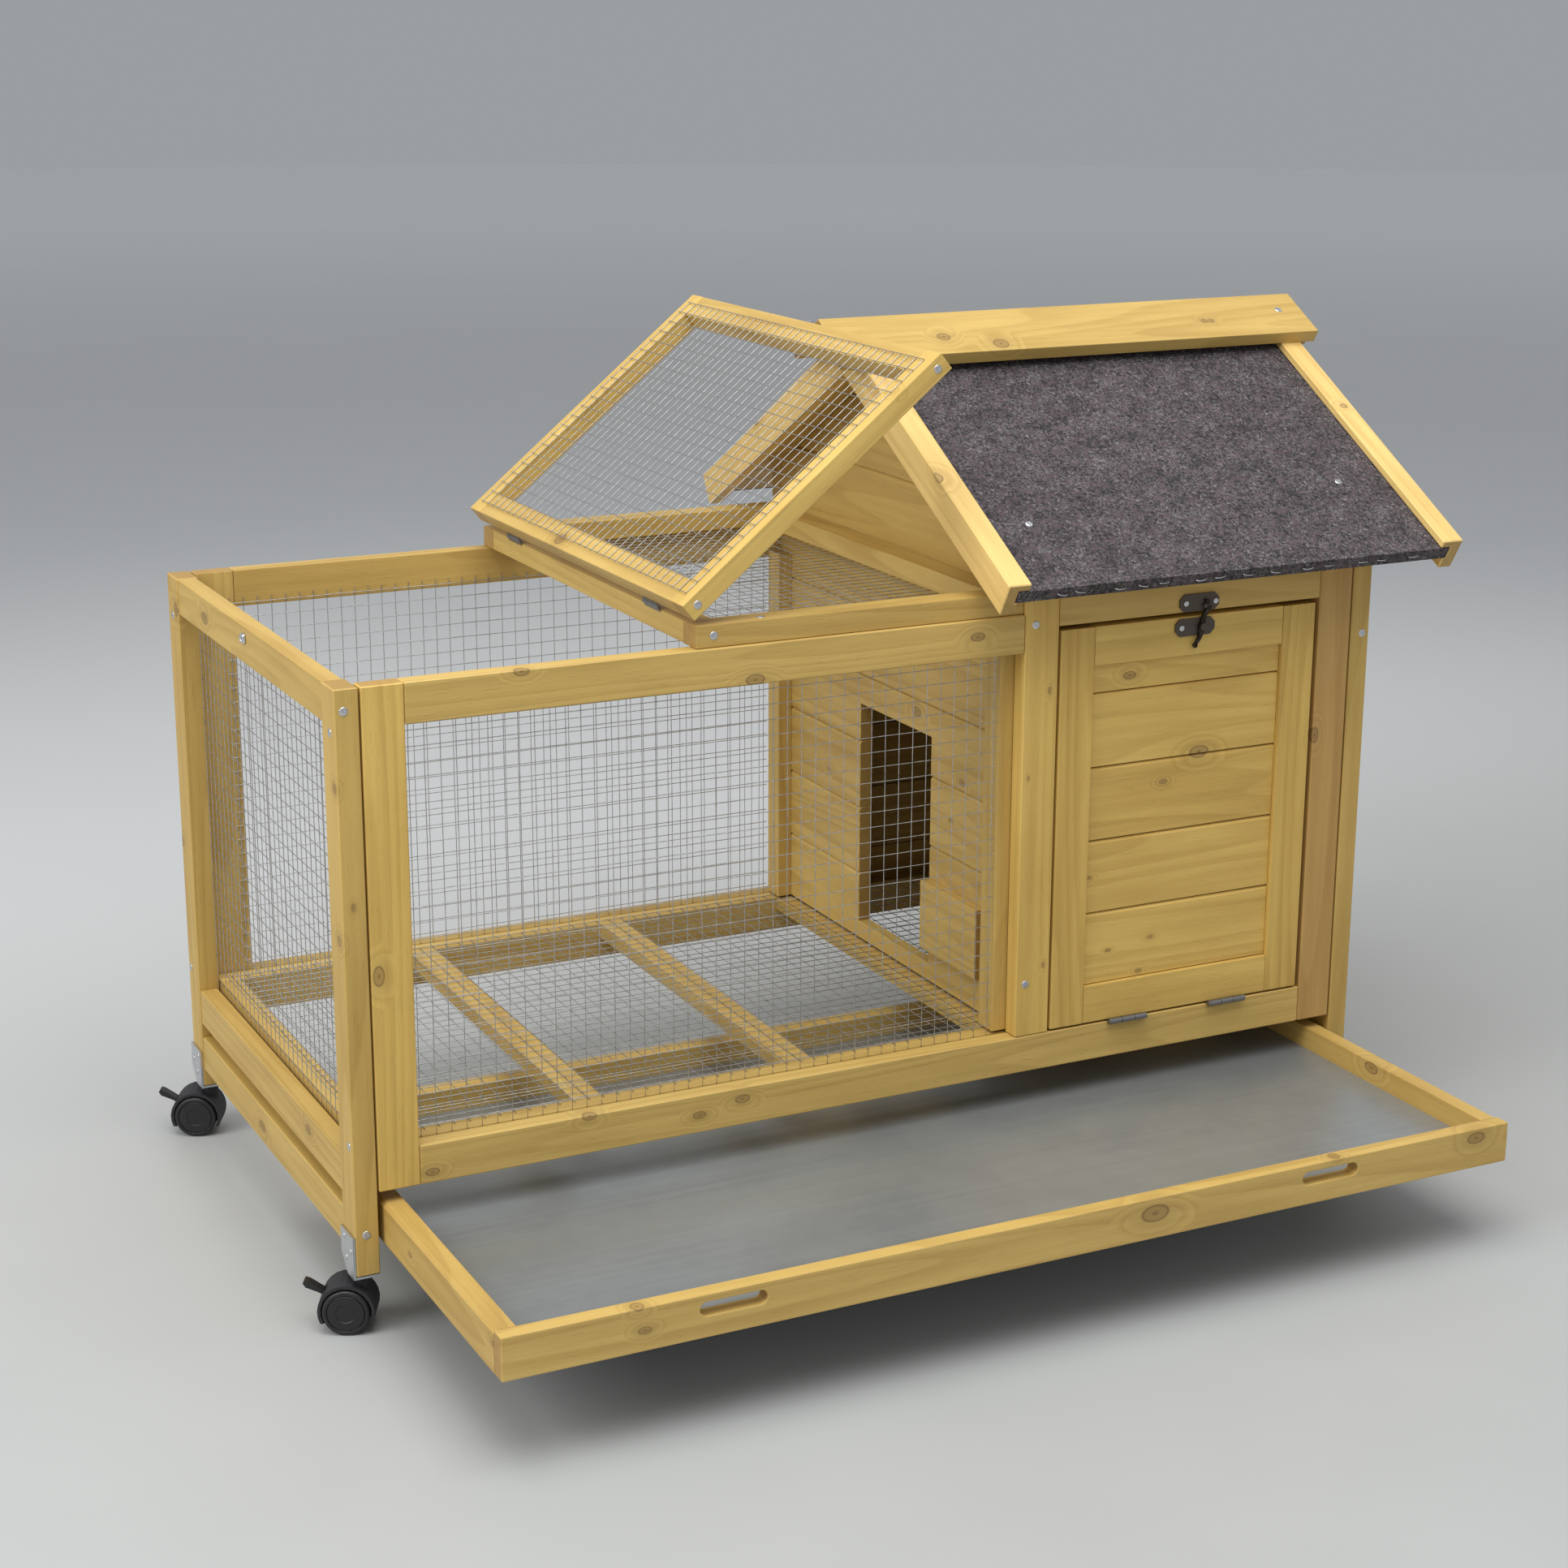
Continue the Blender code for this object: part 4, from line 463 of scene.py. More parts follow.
def make_felt():
    """Roofing felt: grit and fibre of greys and violet pressed into a dark sheet."""
    felt = Finish("mineral felt")
    place = felt.place()
    fine = {"Vector": place, "Scale": 210.0, "Detail": 1.0}
    curl = felt.node("ShaderNodeTexNoise", None, fine, output=1)
    reach = (FELT_CURL, FELT_CURL, FELT_CURL)
    moved = felt.node("ShaderNodeVectorMath", {"operation": "MULTIPLY_ADD"},
                      {0: curl, 1: reach, 2: place})
    crumb = felt.noise(moved, 430.0, 2.0, 0.6, 0.6)
    patch = felt.noise(place, 46.0, 3.0, 0.6)
    tone = (crumb * 0.86 + patch * 0.28 - 0.07).clamp()
    grey = felt.node("ShaderNodeValToRGB", {"stops": (
        (0.37, (0.013, 0.011, 0.012)), (0.47, (0.046, 0.039, 0.041)),
        (0.55, (0.092, 0.080, 0.083)), (0.68, (0.210, 0.192, 0.192)),
    )}, {0: tone})
    hue = felt.noise(place, 150.0, 2.0, 0.6).ramp(0.5, 0.62)
    shade = felt.blend(hue * 0.45, grey, (0.125, 0.082, 0.102, 1))
    felt.set(Base_Color=shade, Roughness=crumb * 0.15 + 0.80,
             Normal=felt.bump(crumb + patch * 0.3, 0.9, GRIT_DEPTH))
    return felt.material


BRONZE = make_bronze()
NYLON = make_nylon()
SHEET = make_sheet()
FELT = make_felt()
print("finishes", len(bpy.data.materials))

# %% [markdown]
# Boards that the model already has. Legs, stiles and rails keep their solids, whose edges
# are eased. Each one only needs its grain turned along its own length.

# %% Dress the model's own boards
def dress(material, *names):
    """Give nodes of the model one material."""
    for name in names:
        data = NODES[name].data
        data.materials.clear()
        data.materials.append(material)
    print(material.name, "on", len(names), "nodes")


dress(FIR_LEG, "leg_front_left", "leg_back_left", "leg_front_right", "leg_back_right")
dress(FIR_STILE, "front_left_stile", "front_house_stile")
dress(FIR_DARK, "front_right_stile")
dress(FIR_RAIL, "front_top_rail", "front_bottom_rail", "door_header")
dress(FIR_X, "roof_board_front", "roof_board_back")
dress(FIR_END_RAIL, "left_end_top_rail", "left_end_mid_rail", "left_end_low_rail")
dress(FIR_VERGE_PAINTED_LIGHT, "left_verge_trim", "right_verge_trim")
dress(FELT, "roof_felt")
dress(SHEET, "tray_sheet")
dress(STEEL, "door_hinge_left", "door_hinge_right")
dress(ZINC, "lid_catch_tab", *(name for name in NODES if name.startswith("caster_bracket")))
dress(NYLON, *(name for name in NODES if name.startswith("brake_lever")))

# %% [markdown]
# Stage. A plain pale floor, darker in the middle distance, so that the thin wires stand out
# as they do in front of the room's grey wall. Just behind the coop the floor is painted paler:
# painted light, where the lamps reach less. A broad soft lamp hangs overhead, a smaller one
# lights the left end, and an even sky fills the shadows. Only the camera sees the grey wall.

# %% Floor and light
FLOOR_RADIUS = 14.0
FLOOR_STEPS = 96
FLOOR_NEAR = ((0.40, 0.41, 0.405, 1), (0.46, 0.47, 0.465, 1))
# Painted light: the floor behind the coop is paler, standing in for light where the lamps reach
# less.
FLOOR_BEHIND_PAINTED_LIGHT = (0.55, 0.56, 0.565, 1)
FLOOR_MIDDLE = (0.42, 0.435, 0.45, 1)
FLOOR_FAR = (0.62, 0.645, 0.67, 1)
WALL_COLOUR = (0.330, 0.345, 0.360, 1)
SKY_COLOUR = (0.97, 0.985, 1.0, 1)
SKY_STRENGTH = 0.50
AIM = Vector((0, 0, 0.3))


def make_floor():
    """A round pale floor under the wheels."""
    bm = bmesh.new()
    bmesh.ops.create_circle(bm, cap_ends=True, segments=FLOOR_STEPS, radius=FLOOR_RADIUS)
    data = bpy.data.meshes.new("floor")
    bm.to_mesh(data)
    bm.free()
    floor = bpy.data.objects.new("floor", data)
    bpy.context.scene.collection.objects.link(floor)
    pale = Finish("pale floor")
    place = pale.place()
    far = pale.node("ShaderNodeVectorMath", {"operation": "LENGTH"}, {0: place}, output=1)
    cloud = pale.noise(place, 2.5, 3.0, 0.6)
    shade = pale.blend(cloud, *FLOOR_NEAR)
    # Painted light: paler floor behind the coop, where the lamps reach less.
    shade = pale.blend(pale.dot(place, Y_AXIS).ramp(0.1, 1.4), shade, FLOOR_BEHIND_PAINTED_LIGHT)
    shade = pale.blend(far.ramp(1.7, 3.4), shade, FLOOR_MIDDLE)
    shade = pale.blend(far.ramp(4.0, 11.0), shade, FLOOR_FAR)
    floor.data.materials.append(pale.set(Base_Color=shade, Roughness=cloud * 0.1 + 0.45))


def make_lamp(name, place, width, power):
    """A square area lamp that looks at the coop."""
    data = bpy.data.lights.new(name, "AREA")
    data.shape = "SQUARE"
    data.size = width
    data.energy = power
    lamp = bpy.data.objects.new(name, data)
    bpy.context.scene.collection.objects.link(lamp)
    lamp.location = place
    lamp.rotation_euler = (AIM - Vector(place)).to_track_quat("-Z", "Y").to_euler()
    print(name, "lamp", power, "watts")


def make_sky():
    """Even light from all round, and a grey wall that only the camera sees."""
    world = bpy.data.worlds.new("sky")
    world.use_nodes = True
    tree = world.node_tree
    sky = tree.nodes["Background"]
    sky.inputs["Color"].default_value = SKY_COLOUR
    sky.inputs["Strength"].default_value = SKY_STRENGTH
    wall = tree.nodes.new("ShaderNodeBackground")
    wall.inputs["Color"].default_value = WALL_COLOUR
    seen = tree.nodes.new("ShaderNodeLightPath")
    chosen = tree.nodes.new("ShaderNodeMixShader")
    tree.links.new(seen.outputs["Is Camera Ray"], chosen.inputs[0])
    tree.links.new(sky.outputs[0], chosen.inputs[1])
    tree.links.new(wall.outputs[0], chosen.inputs[2])
    tree.links.new(chosen.outputs[0], tree.nodes["World Output"].inputs["Surface"])
    bpy.context.scene.world = world


make_floor()
make_sky()
make_lamp("overhead", (-0.5, -0.9, 3.6), 3.0, 115)
make_lamp("left", (-3.1, -0.5, 2.2), 1.8, 54)
bpy.context.scene.view_settings.view_transform = "Standard"

# %% [markdown]
# Joinery. Where the model has one solid for several boards, such as the door or the tray
# frame, the real thing is separate planks, each with its own grain, eased edges and a fine
# seam to the next. Joinery gathers such planks in one mesh. Each is an outline run along an
# axis, with its outer edges bevelled, and carries a random number that shifts its grain. The
# numbers come from the piece's name, so they are the same in every run.

# %% Joinery helper
EASED = 0.8
EASED_SLAT = 0.5
GRAIN_SHIFTS = 5.0
PLANES = {"X": (1, 2, 0), "Y": (0, 2, 1), "Z": (0, 1, 2)}


def add_piece(name, mesh, body, replaced=()):
    """Link a finished mesh, let it ride on its body and hide the nodes that it stands for."""
    piece = bpy.data.objects.new(name, mesh)
    bpy.context.scene.collection.objects.link(piece)
    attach(piece, body)
    if replaced:
        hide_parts(*replaced)
    return piece


def span(node):
    """Low and high corners of a node in millimetres from the home corner."""
    low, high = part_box(node)
    return local(low), local(high)


def extrude(outline, axis, start, end):
    """A closed bmesh prism of an outline in millimetres, square to an axis."""
    part = bmesh.new()
    first, second, third = PLANES[axis]
    rings = []
    for depth in (start, end):
        ring = []
        for a, b in outline:
            spot = [0.0, 0.0, 0.0]
            spot[first], spot[second], spot[third] = a, b, depth
            ring.append(part.verts.new(at(*spot)))
        rings.append(ring)
    part.faces.new(rings[0])
    part.faces.new(rings[1])
    for i in range(len(outline)):
        j = (i + 1) % len(outline)
        part.faces.new((rings[0][i], rings[0][j], rings[1][j], rings[1][i]))
    bmesh.ops.recalc_face_normals(part, faces=part.faces)
    return part


def soften(part, width, segments=2, angle=0.3):
    """Round the convex edges of a bmesh that are sharper than an angle."""
    sharp = [edge for edge in part.edges
             if len(edge.link_faces) == 2 and edge.calc_face_angle_signed() > angle]
    bmesh.ops.bevel(part, geom=sharp, offset=width * MM, segments=segments, profile=0.6,
                    affect="EDGES", clamp_overlap=True)
    return part


def rectangle(low, high):
    """The four corners of an upright rectangle."""
    return [(low[0], low[1]), (high[0], low[1]), (high[0], high[1]), (low[0], high[1])]


def circle(radius, x, z, steps):
    """Points round a centre."""
    turns = [math.tau * i / steps for i in range(steps)]
    return [(x + radius * math.cos(turn), z + radius * math.sin(turn)) for turn in turns]


class Joinery:
    """Planks of one piece, each with its own grain, gathered in one mesh."""

    def __init__(self, name):
        self.name = name
        self.mesh = bmesh.new()
        self.dice = random.Random(name)
        self.firs = []

    def add(self, part, fir):
        """Take in one finished board and draw its grain shift."""
        tone = part.verts.layers.float.new("shift")
        value = self.dice.random() * GRAIN_SHIFTS
        for vertex in part.verts:
            vertex[tone] = value
        if fir not in self.firs:
            self.firs.append(fir)
        for face in part.faces:
            face.material_index = self.firs.index(fir)
            face.smooth = False
        data = bpy.data.meshes.new("board")
        part.to_mesh(data)
        part.free()
        self.mesh.from_mesh(data)
        bpy.data.meshes.remove(data)

    def board(self, outline, axis, start, end, fir, eased=EASED):
        """A board of an outline square to one axis."""
        self.add(soften(extrude(outline, axis, start, end), eased), fir)

    def plank(self, low, high, fir, eased=EASED):
        """A plain board between two corners."""
        self.board(rectangle(low, high), "Z", low[2], high[2], fir, eased)

    def finish(self, body, *replaced, turn=None, slot="wood"):
        """Make the piece."""
        if turn is not None:
            self.mesh.transform(turn)
        data = bpy.data.meshes.new(self.name)
        self.mesh.to_mesh(data)
        self.mesh.free()
        for fir in self.firs:
            data.materials.append(fir)
        print(self.name, "finishes", len(self.firs), "faces", len(data.polygons))
        return add_piece(self.name, data, body, replaced)


print("boards are eased by", EASED, "mm and slats by", EASED_SLAT, "mm")

# %% [markdown]
# The door is four long slats and a narrow one in a frame of two stiles and two rails. Each
# slat's upper edge is planed to a slope, so a soft shadow line lies under the slat above.

# %% Door
STILE_WIDTH = 33.0
RAIL_HEIGHT = 33.5
SLAT_PITCH = 64.6
SLAT_SLOPE = 3.0
SLAT_CHAMFER = 2.0
SEAM = 0.25
SLAT_SEAM = 0.6
RAIL_RECESS = 0.3


def add_slat(work, face, back, foot, top, start, end, fir, sloped=True):
    """A slat along X between two depths, with a sloped top edge on its face."""
    inward = 1 if back > face else -1
    slope = SLAT_SLOPE if sloped else SLAT_SEAM
    outline = [
        (face, foot + SLAT_SEAM), (face, top - slope),
        (face + inward * SLAT_CHAMFER, top - SLAT_SEAM),
        (back, top - SLAT_SEAM), (back, foot + SLAT_SEAM),
    ]
    work.board(outline, "X", start, end, fir, EASED_SLAT)


def make_door():
    """Frame and slats of the door."""
    low, high = span("door_frame")
    work = Joinery("door_planks")
    for start, end in ((low.x, low.x + STILE_WIDTH), (high.x - STILE_WIDTH, high.x)):
        work.plank((start, low.y, low.z), (end, high.y, high.z), FIR_STILE)
    left, right = low.x + STILE_WIDTH + SEAM, high.x - STILE_WIDTH - SEAM
    for foot, top in ((low.z, low.z + RAIL_HEIGHT), (high.z - RAIL_HEIGHT, high.z)):
        work.plank((left, low.y + RAIL_RECESS, foot), (right, high.y, top), FIR_DOOR)
    panel_low, panel_high = span("door_panel")
    foot = low.z + RAIL_HEIGHT
    limit = high.z - RAIL_HEIGHT
    while foot < limit - 1:
        top = min(foot + SLAT_PITCH, limit)
        add_slat(work, panel_low.y, panel_high.y, foot, top, left, right, FIR_DOOR, top < limit)
        foot = top
    work.finish("door", "door_frame", "door_panel")


make_door()

# %% [markdown]
# The tray frame has a front rail across the whole width, which hides the ends of the side
# rails, and a back rail between them. The top edges are well rounded, because hands and
# straw pass over them. Two finger slots go through the front rail. A Boolean cuts them, and
# only then are the edges rounded, so the rims of the slots are soft as well.

# %% Tray
TRAY_SIDE = 17.0
TRAY_FRONT = 14.0
TRAY_ROUND = 3.2
TRAY_EASED = 1.4
SLOT_HALF = 27.0
SLOT_RADIUS = 5.5
SLOT_INSET = 180.0
SLOT_RISE = 22.5
SLOT_STEPS = 10
CUT_PAST = 5


def slot_outline(middle, height):
    """A long hole with round ends, in X and Z."""
    points = []
    right, left = middle + SLOT_HALF - SLOT_RADIUS, middle - SLOT_HALF + SLOT_RADIUS
    for centre, start in ((right, -90), (left, 90)):
        for i in range(SLOT_STEPS + 1):
            angle = math.radians(start + 180 * i / SLOT_STEPS)
            x, z = SLOT_RADIUS * math.cos(angle), SLOT_RADIUS * math.sin(angle)
            points.append((centre + x, height + z))
    return points


def pierce(part, *cutters):
    """Cut closed bmeshes out of another with exact Booleans."""
    objects = []
    for shape in (part, *cutters):
        data = bpy.data.meshes.new("shape")
        shape.to_mesh(data)
        shape.free()
        thing = bpy.data.objects.new("shape", data)
        bpy.context.scene.collection.objects.link(thing)
        objects.append(thing)
    target = objects[0]
    for cutter in objects[1:]:
        modifier = target.modifiers.new("cut", "BOOLEAN")
        modifier.operation = "DIFFERENCE"
        modifier.solver = "EXACT"
        modifier.object = cutter
    graph = bpy.context.evaluated_depsgraph_get()
    graph.update()
    data = bpy.data.meshes.new_from_object(target.evaluated_get(graph))
    result = bmesh.new()
    result.from_mesh(data)
    for thing in objects:
        bpy.data.objects.remove(thing)
    return result


def make_tray():
    """Front, sides and back of the tray."""
    low, high = span("tray_frame")
    work = Joinery("tray_planks")
    rail = extrude(rectangle((low.x, low.z), (high.x, high.z)), "Y", low.y, low.y + TRAY_FRONT)
    cut = low.y - CUT_PAST, low.y + TRAY_FRONT + CUT_PAST
    holes = [extrude(slot_outline(middle, low.z + SLOT_RISE), "Y", *cut)
             for middle in (low.x + SLOT_INSET, high.x - SLOT_INSET)]
    work.add(soften(pierce(rail, *holes), TRAY_EASED, 3), FIR_TRAY)
    for outer, inward in ((low.x, 1), (high.x, -1)):
        inner = outer + inward * TRAY_SIDE
        outline = [
            (outer, low.z), (outer, high.z - TRAY_ROUND),
            (outer + inward * TRAY_ROUND, high.z - SEAM), (inner, high.z - SEAM), (inner, low.z),
        ]
        work.board(outline, "Y", low.y + TRAY_FRONT + SEAM, high.y, FIR_TRAY_SIDE)
    left, right = low.x + TRAY_SIDE + SEAM, high.x - TRAY_SIDE - SEAM
    work.plank((left, high.y - TRAY_SIDE, low.z), (right, high.y, high.z), FIR_X)
    work.finish("tray", "tray_frame")


make_tray()

# %% [markdown]
# The lid. Two rails run the full length of its slope, with the cross rails between them. It
# is drawn shut, where it lies level, and then turned about its hinge to the open position
# that the photograph shows. Its fir has the grain turned by the same angle.

# %% Lid
LID = joint_of("lid_hinge")
LID_HINGE = Vector(LID["pos_m"])
LID_ANGLE = math.radians(-LID["range_deg"][0])
TO_HINGE = Matrix.Translation(LID_HINGE)
LID_TURN = TO_HINGE @ Matrix.Rotation(LID_ANGLE, 4, "Y") @ Matrix.Translation(-LID_HINGE)
LID_ALONG = LID_TURN.to_3x3() @ X_AXIS
LID_KNOTS = ((385.4, 431.3, 589.5, 5.5), (470, 10, 655, 1.8))
LID_CROSS_KNOTS = ((287.3, 268.5, 509.7, 4.0), (500, 300, 690, 2.0))
FIR_LID = stained_fir("fir of the lid sides", LID_ALONG, LID_KNOTS, shift=0.15,
                      tint=(1.16, 1.18, 1.15))
FIR_LID_CROSS = stained_fir("fir of the lid cross rails", Y_AXIS, LID_CROSS_KNOTS, shift=0.35)
TOP_RAIL = 24.0
CROSS_RECESS = 0.2


def shut_box(node):
    """Corners of a lid node as they lie when the lid is shut."""
    back = LID_TURN.inverted()
    points = [back @ vertex.co for vertex in NODES[node].data.vertices]
    low = Vector([min(point[i] for point in points) for i in range(3)])
    high = Vector([max(point[i] for point in points) for i in range(3)])
    return low, high


def add_ring(work, low, high, long_fir, cross_fir):
    """Two long rails along X with two cross rails between them."""
    for start, end in ((low.y, low.y + TOP_RAIL), (high.y - TOP_RAIL, high.y)):
        work.plank((low.x, start, low.z), (high.x, end, high.z), long_fir)
    near, far = low.y + TOP_RAIL + SEAM, high.y - TOP_RAIL - SEAM
    foot, top = low.z + CROSS_RECESS, high.z - CROSS_RECESS
    for start, end in ((low.x + CROSS_RECESS, low.x + TOP_RAIL),
                       (high.x - TOP_RAIL, high.x - CROSS_RECESS)):
        work.plank((start, near, foot), (end, far, top), cross_fir)


def make_lid():
    """The lid's four rails."""
    low, high = (local(corner) for corner in shut_box("lid_frame"))
    work = Joinery("lid_planks")
    add_ring(work, low, high, FIR_LID, FIR_LID_CROSS)
    work.finish("lid", "lid_frame", turn=LID_TURN)


def make_top_frame():
    """The fixed half's four rails."""
    low, high = span("top_frame")
    work = Joinery("top_planks")
    add_ring(work, low, high, FIR_RAIL, FIR_Y)
    work.finish("coop", "top_frame")


make_lid()
make_top_frame()

# %% [markdown]
# Floor and back. The floor net lies on bearers along all four sides and on cross slats. The
# back is an open frame behind the run and a stack of slats behind the house, under a sloping
# top edge that follows the roof.

# %% Floor frame and back
BEARER = 18.0
SLAT_THICKNESS = 12.0
SLAT_WIDTH = 26.0
RUN_SLATS = 3
BOARD_PITCH = 63.5
RUN_LEFT = span("front_left_stile")[1].x
HOUSE_LEFT = span("front_house_stile")[0].x
HOUSE_RIGHT = span("front_right_stile")[1].x
DOOR_LEFT = span("front_house_stile")[1].x
DOOR_RIGHT = span("front_right_stile")[0].x


def make_floor_frame():
    """Bearers all round and slats across."""
    low, high = span("floor_frame")
    work = Joinery("floor_planks")
    for start, end in ((low.y, low.y + BEARER), (high.y - BEARER, high.y)):
        work.plank((low.x, start, low.z), (high.x, end, high.z), FIR_X)
    near, far = low.y + BEARER + SEAM, high.y - BEARER - SEAM
    for start, end in ((low.x, low.x + BEARER), (high.x - BEARER, high.x)):
        work.plank((start, near, low.z), (end, far, high.z), FIR_Y)
    step = (HOUSE_LEFT - low.x) / RUN_SLATS
    places = [low.x + step * (i + 1) for i in range(RUN_SLATS)] + [(HOUSE_LEFT + high.x) / 2]
    for place in places:
        start, end = place - SLAT_WIDTH / 2, place + SLAT_WIDTH / 2
        work.plank((start, near, high.z - SLAT_THICKNESS), (end, far, high.z), FIR_Y)
    work.finish("coop", "floor_frame")


def make_back():
    """Open frame and slatted panel at the back."""
    low, high = span("back_panel")
    rail_foot, rail_top = (corner.z for corner in span("front_top_rail"))
    floor_top = span("front_bottom_rail")[1].z
    work = Joinery("back_planks")
    outer_top = high.z - (high.y - low.y) * math.tan(PITCH)

    def under_roof(foot):
        """Outline in Y and Z from a height up to the roof."""
        return [(low.y, foot), (high.y, foot), (high.y, outer_top), (low.y, high.z)]

    work.plank(low, (RUN_LEFT, high.y, rail_top), FIR_Z)
    left, right = RUN_LEFT + SEAM, HOUSE_LEFT - SEAM
    for foot, top in ((rail_foot, rail_top), (low.z, floor_top)):
        work.plank((left, low.y, foot), (right, high.y, top), FIR_X)
    for start, end in ((HOUSE_LEFT, DOOR_LEFT), (DOOR_RIGHT, HOUSE_RIGHT)):
        work.board(under_roof(low.z), "X", start, end, FIR_Z)
    left, right = DOOR_LEFT + SEAM, DOOR_RIGHT - SEAM
    foot = low.z
    while foot < outer_top - 1:
        top = foot + BOARD_PITCH
        if top < outer_top:
            add_slat(work, high.y, low.y, foot, top, left, right, FIR_X)
        else:
            work.board(under_roof(foot + SEAM), "X", left, right, FIR_X, EASED_SLAT)
        foot = top
    work.finish("coop", "back_panel")


make_floor_frame()
make_back()

# %% [markdown]
# House walls. The boards of both gable ends run from front to back and get shorter under the
# roof, so each outline is cut by the slope. The left one has the doorway to the run, with
# battens where the nets are nailed and a stop board beside the opening.

# %% House walls
WALL = 12.0
GABLE_CHAMFER = 2.2
GABLE_BLUNT = 0.8
TOUCH = 0.001 * MM
DOORWAY = (155.0, 288.0, 118.0, 328.0)
BATTEN_DEPTH = 23.2
BATTEN_REACH = 0.93
NET_CLEAR = 0.3
PATCH = (57.0, 155.0, 135.0, 198.0)
PATCH_THICKNESS = 9.0
RUNNER_TOP = 7.7
RIDGE = (RIDGE_Y - HOME.y) / MM


def gable_width(apex, height, limit):
    """Half the width of the gable at a height."""
    return min(limit, (apex - height) / math.tan(PITCH))


def gable_board(apex, limit, foot, top):
    """Outline of one board in Y and Z, cut by the roof slope."""
    top = min(top, apex - GABLE_BLUNT)
    kink = apex - limit * math.tan(PITCH)
    levels = [foot, *([kink] if foot + 0.5 < kink < top - 0.5 else []), top]
    right = [(RIDGE + gable_width(apex, level, limit), level) for level in levels]
    left = [(RIDGE - gable_width(apex, level, limit), level) for level in reversed(levels)]
    return right + left


def add_gable(work, outer, inner, foot, apex, limit, fir, doorway=None):
    """Boards of a gable wall; outer is the face with the chamfers."""
    while foot < apex - 2:
        top = min(foot + BOARD_PITCH, apex)
        pieces = [gable_board(apex, limit, foot + SEAM, top - SEAM)]
        if doorway and foot < doorway[3] and top > doorway[2]:
            pieces = notch(pieces[0], doorway, foot + SEAM, top - SEAM)
        for outline in pieces:
            part = extrude(outline, "X", outer, inner)
            corner = at(outer, 0, top - SEAM)
            edges = [edge for edge in part.edges
                     if all(abs(v.co.x - corner.x) < TOUCH and v.co.z > corner.z - TOUCH
                            for v in edge.verts)]
            bmesh.ops.bevel(part, geom=edges, offset=GABLE_CHAMFER * MM, segments=1,
                            affect="EDGES")
            work.add(soften(part, EASED_SLAT, 1), fir)
        foot = top


def notch(outline, doorway, foot, top):
    """Outlines of what a doorway of (front, back, sill, head) leaves of a board."""
    front, back, sill, head = doorway
    depths = [point[0] for point in outline]
    near, far = min(depths), max(depths)
    if foot >= sill and top <= head:
        return [rectangle((near, foot), (front, top)), rectangle((back, foot), (far, top))]
    if foot < sill:
        return [[(near, foot), (far, foot), (far, top), (back, top), (back, sill),
                 (front, sill), (front, top), (near, top)]]
    return [[(near, foot), (front, foot), (front, head), (back, head), (back, foot),
             (far, foot), (far, top), (near, top)]]


def make_left_wall():
    """Wall between run and house."""
    low, high = span("house_left_wall")
    outer, inner = high.x - WALL, high.x
    limit = (high.y - low.y) / 2
    work = Joinery("left_wall_planks")
    add_gable(work, outer, inner, low.z, high.z, limit, FIR_WALL, DOORWAY)
    top = low.z + (span("front_top_rail")[1].z - low.z) * BATTEN_REACH
    back_net = span("back_net")[0].y
    for start in (low.y, back_net - NET_CLEAR - BATTEN_DEPTH):
        work.plank((low.x, start, low.z), (outer, start + BATTEN_DEPTH, top), FIR_Z)
    front, back, foot, head = PATCH
    work.plank((outer - PATCH_THICKNESS, front, foot), (outer, back, head), FIR_Y)
    work.finish("coop", "house_left_wall")


def make_right_wall():
    """Outer gable wall with the tray's runner."""
    low, high = span("house_right_wall")
    limit = (high.y - low.y) / 2
    inner = high.x - WALL
    work = Joinery("right_wall_planks")
    foot = low.z
    base = span("front_bottom_rail")[0].z
    strip = rectangle((low.y, foot), (high.y, base - SEAM))
    work.board(strip, "X", inner, high.x, FIR_WALL, EASED_SLAT)
    add_gable(work, high.x, inner, base, high.z, limit, FIR_WALL)
    work.plank((low.x, low.y, foot), (inner, high.y, foot + RUNNER_TOP), FIR_Y)
    work.finish("coop", "house_right_wall")


make_left_wall()
make_right_wall()

# %% [markdown]
# The ridge cap is two boards that meet over the ridge, mitred so that their joint shows as a
# thin line along the top. The back one is a little shorter, and an end block closes the right
# end under them.

# %% Ridge cap
CAP_WIDTH = 51.0
CAP_THICKNESS = 12.0
CAP_SEAT = -0.3
BLOCK_DEPTH = 18.0
BLOCK_INSET = 9.0
BACK_SHY = 0.6
BLOCK_GAP = 0.3
BLOCK_SHY = 1.0
RIDGE_TOP = span("left_verge_trim")[1].z


def on_slope(along, depth, side):
    """A point down a slope from the ridge; side is 1 at the front and -1 at the back."""
    y = RIDGE - side * (along * math.cos(PITCH) - depth * math.sin(PITCH))
    return (y, RIDGE_TOP - along * math.sin(PITCH) - depth * math.cos(PITCH))


def on_ridge(depth):
    """A point straight under the ridge at a depth square to the slopes."""
    return (RIDGE, RIDGE_TOP - depth / math.cos(PITCH))


